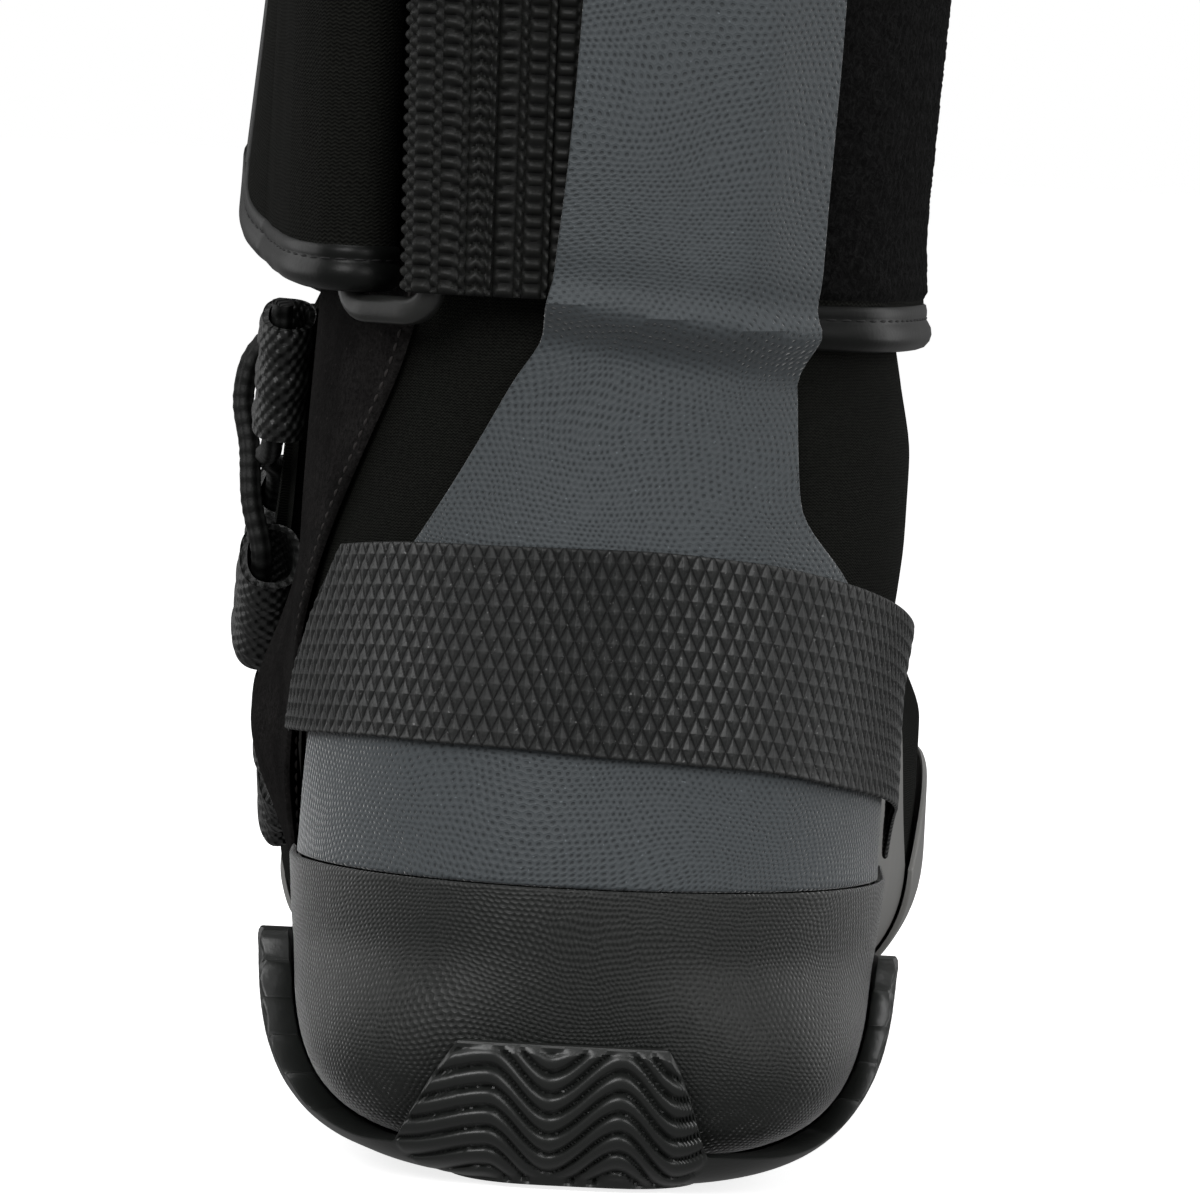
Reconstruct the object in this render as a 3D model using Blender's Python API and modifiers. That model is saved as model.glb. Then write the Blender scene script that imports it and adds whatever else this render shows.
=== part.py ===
"""Dinghy sailing boot (right foot) as an assembly of solids. Blender 4.5, metres, +Z up.

The toe points to +Y, the outer (lateral) side of the foot to +X. The origin is on the floor, in the
middle of the flat spot under the heel. Every piece is worked out from one function, the last: its
half-width at a station y along the foot and a height z. All sizes below are in millimetres.
"""
import math

import bmesh
import bpy
import numpy as np

MM = 0.001
COLLECTION = "dinghy_boot"

# Driving sizes
WALL = 4.0              # foam wall of the upper
GAP = 0.35              # between curved pieces
SOLE_FLOOR = 5.2        # height of the upper's underside over the floor
ARCH_LIFT, ARCH_FROM, ARCH_TO = 4.0, 38.0, 104.0
TOE_SPRING, SPRING_FROM, TOE_TIP = 9.0, 160.0, 238.5
COLLAR_BACK, COLLAR_FRONT = 188.0, 190.0
FLANGE = 0.8            # the wall turns under to this height over its own lowest level
FOOT_FROM, FOOT_TO = 8.0, 70.0       # stations where the heel's width gives way to the foot's
HEEL_SQUARE, HEEL_ROUND_TOP = 2.6, 30.0   # the heel's plan is squarer low down, up to this height
SHAFT_FROM, SHAFT_TO = 62.0, 112.0   # heights where the foot's width gives way to the shaft's


class Table:
    """A short table with named columns, read between its rows with a smooth monotone curve."""

    def __init__(self, columns, *rows):
        self.columns = columns.split()
        self.rows = np.array(rows, float)

    def at(self, column, where):
        x, y = self.rows[:, 0], self.rows[:, self.columns.index(column)]
        where = np.clip(where, x[0], x[-1])
        step = np.diff(x)
        rise = np.diff(y) / step
        slope = np.zeros(len(x))
        same = rise[:-1] * rise[1:] > 0
        low, high = 2 * step[1:] + step[:-1], step[1:] + 2 * step[:-1]
        with np.errstate(divide="ignore", invalid="ignore"):
            mean = (low + high) / (low / rise[:-1] + high / rise[1:])
        slope[1:-1] = np.where(same, mean, 0.0)
        slope[0], slope[-1] = rise[0], rise[-1]
        i = np.clip(np.searchsorted(x, where, "right") - 1, 0, len(x) - 2)
        t = (where - x[i]) / step[i]
        return (
            y[i] * (1 + 2 * t) * (1 - t) ** 2
            + slope[i] * step[i] * t * (1 - t) ** 2
            + y[i + 1] * t * t * (3 - 2 * t)
            + slope[i + 1] * step[i] * t * t * (t - 1)
        )


# One row for each level of the last: where it starts and ends, how far its rounded ends run, half-widths
LEVELS = Table(
    "z back back_run front run_out run_in half_out half_in",
    (4, -26.0, 32, 200.0, 86, 60, 34.4, 34.4),
    (6, -30.0, 33, 213.0, 86, 60, 34.4, 34.4),
    (10, -33.6, 34, 225.0, 86, 60, 34.5, 34.5),
    (15, -35.8, 35, 233.0, 84, 60, 34.6, 34.6),
    (20, -36.8, 36, 236.5, 82, 58, 34.7, 34.7),
    (25, -37.4, 37, 238.5, 80, 57, 34.8, 34.8),
    (30, -37.7, 37, 239.0, 78, 56, 35.3, 35.3),
    (34, -37.8, 37, 236.5, 76, 56, 35.7, 35.6),
    (38, -37.7, 37, 230.5, 74, 57, 36.0, 35.9),
    (42, -37.5, 38, 219.0, 72, 58, 36.1, 36.1),
    (46, -37.2, 38, 202.0, 70, 60, 36.2, 36.3),
    (50, -36.8, 38, 183.0, 70, 62, 36.2, 36.4),
    (55, -36.2, 39, 161.0, 70, 64, 36.2, 36.6),
    (60, -35.6, 39, 143.0, 70, 66, 36.3, 36.8),
    (70, -34.3, 40, 117.0, 68, 66, 37.4, 37.0),
    (80, -33.2, 41, 98.5, 64, 64, 38.4, 37.0),
    (90, -32.4, 42, 85.0, 60, 60, 38.6, 36.8),
    (100, -32.0, 43, 74.5, 56, 56, 37.0, 36.4),
    (110, -32.2, 44, 69.0, 52, 52, 35.2, 36.0),
    (120, -32.6, 44, 66.0, 49, 49, 34.3, 35.8),
    (140, -33.6, 45, 63.5, 48, 48, 34.6, 35.8),
    (165, -35.0, 46, 62.5, 48, 48, 35.2, 36.2),
    (192, -36.5, 47, 63.0, 48, 48, 36.0, 37.0),
)
# One row for each station of the foot: half-widths, height of the bottom's rounding on each side, its
# exponent, and how far the ridge on top lies to the inside
STATIONS = Table(
    "y half_out half_in round_out round_in power ridge",
    (-40, 35.0, 35.0, 31, 31, 4.4, 0.0),
    (0, 35.6, 35.6, 31, 31, 4.2, 0.0),
    (30, 37.0, 38.0, 30, 37, 3.3, -1.0),
    (60, 39.6, 39.4, 27, 43, 2.8, -3.0),
    (90, 42.8, 39.4, 26, 40, 2.6, -5.0),
    (120, 46.0, 41.8, 26, 28, 2.5, -6.0),
    (142, 46.6, 44.6, 26, 23, 2.5, -7.0),
    (165, 46.0, 45.0, 25, 21, 2.5, -8.5),
    (190, 44.0, 44.0, 22, 19, 2.5, -10.0),
    (240, 42.0, 42.0, 18, 18, 2.4, -11.0),
)


def ease(value, start, end):
    t = np.clip((np.asarray(value, float) - start) / (end - start), 0.0, 1.0)
    return t * t * (3 - 2 * t)


def rounded(share, power):
    """A rounded end: 0 where it starts, 1 from the end of its run on."""
    share = np.clip(share, 0.0, 1.0)
    return (1.0 - (1.0 - share) ** power) ** (1.0 / power)


def lift(y):
    """How far the sole's underside lies over the floor: the arch and the toe spring."""
    y = np.asarray(y, float)
    arch = ARCH_LIFT * np.sin(math.pi * np.clip((y - ARCH_FROM) / (ARCH_TO - ARCH_FROM), 0, 1)) ** 2
    spring = TOE_SPRING * (np.clip(y - SPRING_FROM, 0, None) / (TOE_TIP - SPRING_FROM)) ** 2
    return arch + spring


def ridge(y, z):
    return STATIONS.at("ridge", y) * (1 - ease(z, SHAFT_FROM, SHAFT_TO)) - ease(z, SHAFT_FROM, SHAFT_TO)


def half_width(side, y, z):
    """X of the last's surface on one side: +1 is the outer side of the foot, -1 the inner one."""
    end = "out" if side > 0 else "in"
    foot = ease(y, FOOT_FROM, FOOT_TO) * (1 - ease(z, SHAFT_FROM, SHAFT_TO))
    base = LEVELS.at("half_" + end, z) * (1 - foot) + STATIONS.at("half_" + end, y) * foot
    front = rounded((LEVELS.at("front", z) - y) / LEVELS.at("run_" + end, z), 2.15)
    square = HEEL_SQUARE * (1 - ease(z, SOLE_FLOOR, HEEL_ROUND_TOP))
    back = rounded((y - LEVELS.at("back", z)) / LEVELS.at("back_run", z), 2.05 + square)
    over = (z - SOLE_FLOOR - lift(y)) / STATIONS.at("round_" + end, y)
    under = rounded(over, STATIONS.at("power", y))
    middle = ridge(y, z)
    return middle + side * (base - side * middle) * front * back * under


def reach(x, y, dx, dy, z):
    """Distance from (x, y, z) along the level direction (dx, dy) to the last's surface, by halving."""
    x, y, dx, dy, z = np.broadcast_arrays(*(np.asarray(v, float) for v in (x, y, dx, dy, z)))
    near, far = np.zeros(x.shape), np.full(x.shape, 320.0)
    for _ in range(44):
        middle = (near + far) / 2
        px, py = x + dx * middle, y + dy * middle
        inside = (px < half_width(1, py, z)) & (px > half_width(-1, py, z))
        near, far = np.where(inside, middle, near), np.where(inside, far, middle)
    return near


# The plan of the upper's and the sole's columns: round the heel, along a side, round the toe and back
HEEL_CENTRE, TOE_CENTRE = 0.0, 178.0


class Plan:
    """Columns round the foot: each is a start on the foot's middle line and a level direction."""

    def __init__(self, heel_angles, sides, toe_angles):
        along = np.linspace(0, 1, sides + 2)[1:-1]
        out = [(0.0, a) for a in heel_angles if a >= 0]
        out += [(s, 90.0) for s in along]
        out += [(1.0, a) for a in toe_angles]
        inner = [(1.0, 360.0 - a) for a in reversed(toe_angles) if a < 180]
        inner += [(s, 270.0) for s in reversed(along)]
        inner += [(0.0, 360.0 + a) for a in heel_angles if a < 0]
        self.share, self.angle = np.array(out + inner + [(0.0, 360.0)]).T
        self.count = len(self.share) - 1

    def rays(self, column, front_centre):
        share = np.interp(column, np.arange(self.count + 1), self.share)
        angle = np.radians(np.interp(column, np.arange(self.count + 1), self.angle))
        y = HEEL_CENTRE + (front_centre - HEEL_CENTRE) * share
        return y, np.sin(angle), -np.cos(angle), share


def new_object(name, bm, collection, material=None):
    mesh = bpy.data.meshes.new(name)
    bm.to_mesh(mesh)
    bm.free()
    obj = bpy.data.objects.new(name, mesh)
    collection.objects.link(obj)
    if material:
        mesh.materials.append(material)
    return obj


def grid(across, along, place, bm=None):
    """A grid primitive whose points place(s, t) puts, with s and t from 0 to 1; welded where it meets."""
    bm = bm or bmesh.new()
    made = bmesh.ops.create_grid(bm, x_segments=across, y_segments=along, size=1.0)["verts"]
    s, t = ((np.array([getattr(v.co, axis) for v in made]) + 1) / 2 for axis in "xy")
    for vert, point in zip(made, np.asarray(place(s, t)) * MM):
        vert.co = point
    bmesh.ops.remove_doubles(bm, verts=list(bm.verts), dist=1e-6)
    return bm


def outward(bm):
    """Turns a closed mesh's faces out."""
    bmesh.ops.recalc_face_normals(bm, faces=bm.faces)
    if bm.calc_volume(signed=True) < 0:
        bmesh.ops.reverse_faces(bm, faces=bm.faces)
    return bm


def normals(surface, s, t, step=1e-3):
    """Unit normals of a patch, away from the boot's middle."""
    ds = surface(np.clip(s + step, 0, 1), t) - surface(np.clip(s - step, 0, 1), t)
    dt = surface(s, np.clip(t + step, 0, 1)) - surface(s, np.clip(t - step, 0, 1))
    n = np.cross(ds, dt)
    return n / np.maximum(np.linalg.norm(n, axis=1, keepdims=True), 1e-9)


def patch(name, surface, across, along, start, thick, collection, material):
    """A sheet over the last: its inner face lies `start` off the surface and it is `thick`."""
    def place(depth):
        def at(s, t):
            n = normals(surface, s, t)
            here = surface(s, t)
            sense = np.sign(np.sum(n * (here - np.array([0, 20.0, 60.0]) * [1, 0, 0.6]
                                        - np.outer(here[:, 1] * 0.8, [0, 1, 0])), axis=1).mean())
            level = depth(s, t) if callable(depth) else depth
            return here + sense * n * np.reshape(level, (-1, 1))
        return at

    inner, outer = place(start), place(lambda s, t: (start(s, t) if callable(start) else start) + thick)
    bm = bmesh.new()
    grid(across, along, inner, bm)
    grid(across, along, outer, bm)
    edges = [e for e in bm.edges if e.is_boundary]
    bmesh.ops.bridge_loops(bm, edges=edges)
    return new_object(name, outward(bm), collection, material)


# The upper
UPPER_PLAN = Plan(
    heel_angles=[a for a in range(-90, 91, 15)], sides=8, toe_angles=[a for a in range(90, 181, 15)]
)
RINGS = Table(
    "ring z_back z_front lifted",
    (0, 6.0, 6.0, 1.0),
    (1, 7.4, 7.4, 1.0),
    (2, 10.0, 9.4, 1.0),
    (3, 14.0, 12.4, 1.0),
    (4, 19.0, 16.0, 1.0),
    (5, 25.0, 20.5, 1.0),
    (6, 32.0, 28.0, 0.6),
    (7, 40.0, 35.0, 0.25),
    (8, 48.0, 40.5, 0.0),
    (9, 56.0, 44.0, 0.0),
    (10, 64.0, 47.5, 0.0),
    (11, 72.0, 51.5, 0.0),
    (12, 80.0, 56.0, 0.0),
    (13, 88.0, 62.0, 0.0),
    (14, 96.0, 70.0, 0.0),
    (15, 104.0, 79.0, 0.0),
    (16, 113.0, 90.0, 0.0),
    (17, 124.0, 103.0, 0.0),
    (18, 138.0, 120.0, 0.0),
    (19, 157.0, 150.0, 0.0),
    (20, COLLAR_BACK, COLLAR_FRONT, 0.0),
)
LAST_RING = int(RINGS.rows[-1, 0])
FRONT_RUN = 46.0        # the columns round the front start this far behind the last's front


def upper_surface(s, t):
    """The upper's outer face: s goes round from the heel by the outer side, t from sole to collar."""
    ring = np.asarray(t) * LAST_RING
    z_front = RINGS.at("z_front", ring)
    front_z = z_front + RINGS.at("lifted", ring) * lift(TOE_TIP)
    centre = np.clip(LEVELS.at("front", front_z) - FRONT_RUN, 14.0, TOE_CENTRE)
    y, dx, dy, share = UPPER_PLAN.rays(np.asarray(s) * UPPER_PLAN.count, centre)
    flat = RINGS.at("z_back", ring) + (z_front - RINGS.at("z_back", ring)) * ease(share, 0, 1)
    there = y
    for _ in range(5):
        z = flat + RINGS.at("lifted", ring) * lift(there)
        x = ridge(y, z)
        run = reach(x, y, dx, dy, z)
        there = y + dy * run
    return np.stack([x + dx * run, there, z], axis=1)


# The throat: a slot down the inner side, from the collar to the midfoot
THROAT = Table(
    "share y z half",
    (-0.08, 113.5, 33.5, 2.5),
    (0.0, 106.0, 37.0, 2.5),
    (0.04, 102.0, 39.0, 4.5),
    (0.15, 90.0, 45.5, 5.5),
    (0.28, 74.0, 55.0, 6.2),
    (0.40, 59.0, 66.0, 6.8),
    (0.52, 45.0, 78.5, 7.4),
    (0.63, 34.0, 91.0, 8.0),
    (0.74, 27.0, 105.0, 8.4),
    (0.86, 24.5, 128.0, 8.8),
    (1.0, 24.0, 200.0, 9.0),
)


def beside_throat(share, off):
    """(y, z) beside the throat's middle line: `off` is positive towards the toe."""
    step = 1e-3
    dy = THROAT.at("y", share + step) - THROAT.at("y", share - step)
    dz = THROAT.at("z", share + step) - THROAT.at("z", share - step)
    size = np.hypot(dy, dz)
    return THROAT.at("y", share) + off * dz / size, THROAT.at("z", share) - off * dy / size


def inner_side(y, z):
    return np.stack([half_width(-1, y, z), y, z], axis=1)


def skin():
    """The upper's open skin in triangles, facing away from the foot: the upper and what lies on it share it."""
    bm = grid(UPPER_PLAN.count, LAST_RING, upper_surface)
    bmesh.ops.recalc_face_normals(bm, faces=bm.faces)
    toe = max(bm.faces, key=lambda f: f.calc_center_median().y)
    if toe.normal.y < 0:
        bmesh.ops.reverse_faces(bm, faces=bm.faces)
    bmesh.ops.triangulate(bm, faces=bm.faces, quad_method="SHORT_EDGE")
    return bm


def make_upper(collection, cutters, material):
    upper = new_object("upper", skin(), collection, material)
    shell = upper.modifiers.new("wall", "SOLIDIFY")
    shell.thickness, shell.offset, shell.use_even_offset = WALL * MM, -1.0, True
    shell.use_quality_normals = True

    def slot(x):
        def at(s, t):
            y, z = beside_throat(t, (2 * s - 1) * THROAT.at("half", t))
            return np.stack([np.full_like(y, x), y, z], axis=1)
        return at

    bm = bmesh.new()
    grid(1, 22, slot(-75.0), bm)
    grid(1, 22, slot(-12.0), bm)
    bmesh.ops.bridge_loops(bm, edges=[e for e in bm.edges if e.is_boundary])
    cutter = new_object("throat_cutter", outward(bm), cutters)
    cut = upper.modifiers.new("throat", "BOOLEAN")
    cut.operation, cut.solver, cut.object = "DIFFERENCE", "EXACT", cutter
    return upper


TONGUE, TONGUE_GAP = 2.5, 0.9
TONGUE_LAP = 9.0        # past the throat's edge on each side
TONGUE_FROM, TONGUE_TO = -0.075, 0.972


def make_tongue(collection, material):
    def surface(s, t):
        share = TONGUE_FROM + (TONGUE_TO - TONGUE_FROM) * t
        y, z = beside_throat(share, (2 * s - 1) * (THROAT.at("half", share) + TONGUE_LAP))
        return inner_side(y, z)
    return patch("tongue", surface, 4, 15, -(WALL + TONGUE_GAP + TONGUE), TONGUE, collection, material)


# The sole's columns: finer round the heel, where the pad and the wings' rear edges are
SOLE_PLAN = Plan(
    heel_angles=[-10, -20.2, -27, -33, -44, -55, -63, -71, -78, -90][::-1]
    + [0, 8, 15.3, 25, 33, 43, 54, 63, 71, 78, 90],
    sides=8, toe_angles=[a for a in range(90, 181, 15)],
)
RIM_OUT = Table("turn z", (0, 17), (15.3, 17), (25, 5.0), (36, 4.9), (45, 5.4), (54, 7.2), (63, 11),
                (71, 17), (78, 24), (84, 27), (90, 27.2))
RIM_IN = Table("turn z", (0, 17), (20.2, 17), (33, 5.0), (38, 4.9), (46, 5.4), (55, 7.2), (63, 11),
               (71, 17), (78, 24), (84, 27), (90, 27.2))
RIM_SIDE = Table("share z", (0, 27.2), (0.2, 26.5), (0.4, 23.5), (0.55, 17), (0.7, 11.5), (0.85, 9.5),
                 (1, 10), (2, 12.5))
# From the upper's face to the sole's inner face, past the pieces between them
SOLE_INSIDE = Table("turn d", (0, 2.8), (15, 3.7), (76, 3.3), (90, 2.4), (120, 2.8), (180, 2.8))
SOLE_OUTSIDE = Table("share d", (0, 5.4), (0.12, 6.0), (0.3, 5.5), (0.7, 4.7), (1, 4.7))
SOLE_ROWS = (0.0, 0.05, 0.18, 0.5, 1.0)   # shares of the rim's height up the outer wall
INNER_ROWS = (1.0, 0.6, 0.33, 0.16, 0.05, 0.0)   # and down the inner one
PLATEAU = 6.8           # the floor inside the upper's bottom opening, over the upper's underside
OPENING_CLEAR, TOE_CLEAR = 1.4, 9.0
RUNGS = 2               # faces across the bottom
INSOLE, INSOLE_BASE, INSOLE_CLEAR = 3.0, 7.8, 1.3


class Profile:
    """The last's profile up each column of a plan, as far as the sole and insole need it."""

    def __init__(self, plan, top=34.0, samples=90):
        self.plan = plan
        column = np.arange(plan.count)
        self.y, self.dx, self.dy, self.share = plan.rays(column, TOE_CENTRE)
        turn = plan.angle[:-1]
        self.inner = turn > 180
        self.turn = np.where(self.inner, 360 - turn, turn)
        height = np.concatenate([np.linspace(0.3, 4, samples // 3), np.linspace(4.4, top, samples)])
        shape = (len(height), plan.count)
        y, dx, dy = (np.broadcast_to(v, shape) for v in (self.y, self.dx, self.dy))
        there = y
        for _ in range(6):
            z = SOLE_FLOOR + lift(there) + height[:, None]
            self.x = ridge(self.y, SOLE_FLOOR)
            run = reach(np.broadcast_to(self.x, shape), y, dx, dy, z)
            there = y + dy * run
        self.height, self.run, self.z = height, run, z
        tangent_r, tangent_z = np.gradient(run, axis=0), np.gradient(z, axis=0)
        size = np.hypot(tangent_r, tangent_z)
        self.out_r, self.out_z = tangent_z / size, -tangent_r / size

    def offset(self, distance):
        """Runs and heights of the profile moved out by a distance, one value or one a column."""
        return self.run + distance * self.out_r, self.z + distance * self.out_z

    def point(self, column, run, z):
        return np.stack([self.x[column] + self.dx[column] * run, self.y[column] + self.dy[column] * run, z],
                        axis=1)

    def under(self, column, run):
        return lift(self.y[column] + self.dy[column] * run)


def at_height(z, runs, heights):
    """The run of each column at its own height z."""
    return np.array([
        np.interp(z[c], np.maximum.accumulate(heights[:, c]) + np.arange(len(heights)) * 1e-9, runs[:, c])
        for c in range(runs.shape[1])
    ])


def sole_rows(profile):
    """The sole's rows: runs and heights from the bottom's edge over the rim to the raised floor."""
    turn, share = profile.turn, profile.share
    heel = np.where(profile.inner, RIM_IN.at("z", turn), RIM_OUT.at("z", turn))
    side = RIM_SIDE.at("z", np.where(share >= 1, 1 + (turn - 90) / 90, share))
    rim = np.where(share > 0, side, heel)
    column = np.arange(profile.plan.count)
    out_r, out_z = profile.offset(SOLE_OUTSIDE.at("d", share))
    in_r, in_z = profile.offset(SOLE_INSIDE.at("d", turn))
    floor = profile.under(column, out_r[0])
    rim = rim + np.where(share > 0, profile.under(column, out_r[40]), 0.0)
    rows = []
    for part in SOLE_ROWS:
        z = floor + (rim - floor) * part
        rows.append((at_height(z, out_r, out_z), z))
    low = in_z[4]
    for part in INNER_ROWS:
        z = low + (rim - low) * part
        rows.append((at_height(z, in_r, in_z), z))
    wall_r, _ = profile.offset(-WALL)
    edge = np.array([np.interp(FLANGE, profile.height, wall_r[:, c]) for c in column])
    edge = edge - OPENING_CLEAR - TOE_CLEAR * ease(turn, 90, 165) * (share >= 1)
    rows.append((edge, rows[-1][1] - 0.05))
    rows.append((edge, SOLE_FLOOR + profile.under(column, edge) + PLATEAU))
    return rows


def ladder(bm, profile, run, z, count=RUNGS, level=None):
    """Faces across the foot between the two sides of one row."""
    half = profile.plan.count // 2
    column = np.arange(profile.plan.count)
    points = profile.point(column, run, z)

    def place(s, t):
        rung = np.rint(t * half).astype(int)
        a, b = points[rung], points[-rung % profile.plan.count]
        made = a + (b - a) * s[:, None]
        if level is not None:
            made[:, 2] = level(made[:, 1])
        return made
    return grid(count, half, place, bm)


LUGS = Table("station chevrons", (-22, 1), (-11, 1), (0, 1), (11, 1), (112, 1), (123, 1),
             (134, 1), (145, 1), (156, 1))
GROOVE, GROOVE_DEPTH, CHEVRON = 2.4, 1.6, 4.0
# Zigzag grooves across the heel pad: the line of one of them, and the heights that it is repeated at
PAD_ZIGZAG = Table("x z", (-14.4, 4.4), (-10.8, 5.0), (-3.2, -0.9), (5.6, 5.0), (11.2, 0.3))
PAD_GROOVES = (2.9, 5.4, 7.9, 10.4)
PAD_GROOVE, PAD_DEPTH, PAD_CLEAR = 0.9, 1.0, 3.0


def pad_back(profile, x, z):
    """The heel pad's rear face at points (x, z)."""
    run, height = profile.offset(SOLE_OUTSIDE.at("d", profile.share))
    pad = [c for c in range(profile.plan.count) if profile.share[c] == 0 and profile.turn[c] < 35]
    made = []
    for across, up in zip(x, z):
        there = profile.point(np.array(pad), at_height(np.full(profile.plan.count, up), run, height)[pad],
                              np.full(len(pad), up))
        order = np.argsort(there[:, 0])
        made.append(np.interp(across, there[order, 0], there[order, 1]))
    return np.array(made)


def cut_pad(outsole, profile, cutters):
    """Cuts the zigzag grooves into the heel pad."""
    bm = bmesh.new()
    for up in PAD_GROOVES:
        def groove(s, t, up=up):
            row = np.rint(s * (len(PAD_ZIGZAG.rows) - 1)).astype(int)
            x, z = PAD_ZIGZAG.rows[row, 0], up + PAD_ZIGZAG.rows[row, 1] + (t - 0.5) * PAD_GROOVE
            return np.stack([x, pad_back(profile, x, z) + PAD_DEPTH, z], axis=1)
        grid(len(PAD_ZIGZAG.rows) - 1, 1, groove, bm)
    bmesh.ops.recalc_face_normals(bm, faces=bm.faces)
    backwards = [f for f in bm.faces if f.normal.y > 0]
    bmesh.ops.reverse_faces(bm, faces=backwards)
    cutter = new_object("rib_cutter", bm, cutters)
    depth = cutter.modifiers.new("depth", "SOLIDIFY")
    depth.thickness, depth.offset = PAD_CLEAR * MM, 1.0
    cut = outsole.modifiers.new("ribs", "BOOLEAN")
    cut.operation, cut.solver, cut.object = "DIFFERENCE", "EXACT", cutter


def make_outsole(collection, cutters, material):
    profile = Profile(SOLE_PLAN)
    rows = sole_rows(profile)
    bm = bmesh.new()

    def wall(s, t):
        column = np.rint(s * SOLE_PLAN.count).astype(int) % SOLE_PLAN.count
        row = np.rint(t * (len(rows) - 1)).astype(int)
        run = np.array([rows[r][0][c] for r, c in zip(row, column)])
        z = np.array([rows[r][1][c] for r, c in zip(row, column)])
        return profile.point(column, run, z)
    grid(SOLE_PLAN.count, len(rows) - 1, wall, bm)
    ladder(bm, profile, *rows[0], level=lift)
    ladder(bm, profile, *rows[-1], level=lambda y: SOLE_FLOOR + lift(y) + PLATEAU)
    bmesh.ops.remove_doubles(bm, verts=list(bm.verts), dist=2e-5)
    outsole = new_object("outsole", outward(bm), collection, material)

    bm = bmesh.new()
    for station in LUGS.rows[:, 0]:
        def groove(s, t, station=station):
            x = -62.0 + 124.0 * s
            y = station + CHEVRON * (1 - 4 * np.abs((s * 4) % 1 - 0.5)) + (t - 0.5) * GROOVE
            return np.stack([x, y, np.full_like(x, GROOVE_DEPTH)], axis=1)
        grid(8, 1, groove, bm)
    bmesh.ops.recalc_face_normals(bm, faces=bm.faces)
    if next(iter(bm.faces)).normal.z < 0:
        bmesh.ops.reverse_faces(bm, faces=bm.faces)
    cutter = new_object("tread_cutter", bm, cutters)
    depth = cutter.modifiers.new("depth", "SOLIDIFY")
    depth.thickness, depth.offset = 3 * GROOVE_DEPTH * MM, -1.0
    cut = outsole.modifiers.new("tread", "BOOLEAN")
    cut.operation, cut.solver, cut.object = "DIFFERENCE", "EXACT", cutter
    cut_pad(outsole, profile, cutters)
    return outsole


def make_insole(collection, material):
    profile = Profile(SOLE_PLAN)
    column = np.arange(SOLE_PLAN.count)
    in_r, in_z = profile.offset(-(WALL + INSOLE_CLEAR))
    target = SOLE_FLOOR + profile.under(column, in_r[30]) + INSOLE_BASE
    run = at_height(target, in_r, in_z)
    bm = bmesh.new()
    for top in (0.0, INSOLE):
        ladder(bm, profile, run, target, level=lambda y, top=top: SOLE_FLOOR + lift(y) + INSOLE_BASE + top)
    bmesh.ops.bridge_loops(bm, edges=[e for e in bm.edges if e.is_boundary])
    return new_object("insole", outward(bm), collection, material)


# Pieces over the upper: each is cut by its outline from a shell that follows the upper's faces
CUP, PANEL, STRAP, SUEDE, RAND = 1.6, 1.0, 1.2, 1.2, 1.2
POLE = 6.0              # pieces round the heel are measured round this station
NEAR_HEEL, PAST_HEEL = 12.0, 75.0   # how far their outlines reach from it
NEAR_SIDE, PAST_SIDE = -12.0, -75.0


def over_upper(name, start, thick, outline, segments, collection, cutters, material):
    """A sheet over the upper: `start` off it, one value or a function of z, inside outline(past, s, t)."""
    bm = skin()
    bm.normal_update()
    for vert, factor in [(v, v.calc_shell_factor()) for v in bm.verts]:
        off = start(vert.co.z / MM) if callable(start) else start
        vert.co += vert.normal * float(off) * factor * MM
    piece = new_object(name, bm, collection, material)
    sheet = piece.modifiers.new("sheet", "SOLIDIFY")
    sheet.thickness, sheet.offset, sheet.use_even_offset = thick * MM, 1.0, True
    sheet.use_quality_normals = True

    bm = bmesh.new()
    for past in (False, True):
        grid(*segments, lambda s, t, past=past: outline(past, s, t), bm)
    bmesh.ops.bridge_loops(bm, edges=[e for e in bm.edges if e.is_boundary])
    cutter = new_object(name + "_outline", outward(bm), cutters)
    cut = piece.modifiers.new("outline", "BOOLEAN")
    cut.operation, cut.solver, cut.object = "INTERSECT", "EXACT", cutter
    return piece


def round_heel(turn, z):
    """The last's surface at a turn round the heel: 0 is straight back, 90 the outer side."""
    a = np.radians(turn)
    x, y = np.sin(a), -np.cos(a)
    run = reach(0.0, POLE, x, y, z)
    return np.stack([x * run, POLE + y * run, z], axis=1)


def from_pole(past, turn, z):
    a = np.radians(turn)
    run = PAST_HEEL if past else NEAR_HEEL
    return np.stack([run * np.sin(a), POLE - run * np.cos(a), z], axis=1)


def turn_at(x, z):
    """The turn round the heel where the last's surface has this x."""
    low, high = np.full(x.shape, -88.0), np.full(x.shape, 88.0)
    for _ in range(24):
        middle = (low + high) / 2
        under = round_heel(middle, z)[:, 0] < x
        low, high = np.where(under, middle, low), np.where(under, high, middle)
    return low


CUP_FROM, CUP_TO, CUP_LOW, CUP_TOP = -89.0, 104.0, 6.4, 37.5


def make_heel_cup(collection, cutters, material):
    def outline(past, s, t):
        return from_pole(past, CUP_FROM + (CUP_TO - CUP_FROM) * s, CUP_LOW + (CUP_TOP - CUP_LOW) * t)
    over_upper("heel_cup", GAP, CUP, outline, (6, 1), collection, cutters, material)


# The heel panel's edges as seen from behind: it narrows up the back and stands over the ankle strap
PANEL_EDGES = Table(
    "z left right",
    (37.9, -35.4, 35.4),
    (54, -34.6, 35.5),
    (66, -30.0, 34.5),
    (76, -24.0, 29.5),
    (85, -18.8, 23.6),
    (93, -14.6, 22.2),
    (99, -11.6, 21.6),
    (105, -8.2, 21.0),
    (112, -6.6, 21.2),
    (145, -4.8, 22.0),
    (186, -4.0, 22.5),
)
ANKLE_OFF, ANKLE = 2.4, 3.4          # the ankle strap's inner face and thickness
STEP_FROM, STEP_TO, STEP_BACK, STEP_END = 95.9, 104.2, 157.0, 188.0


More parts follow.
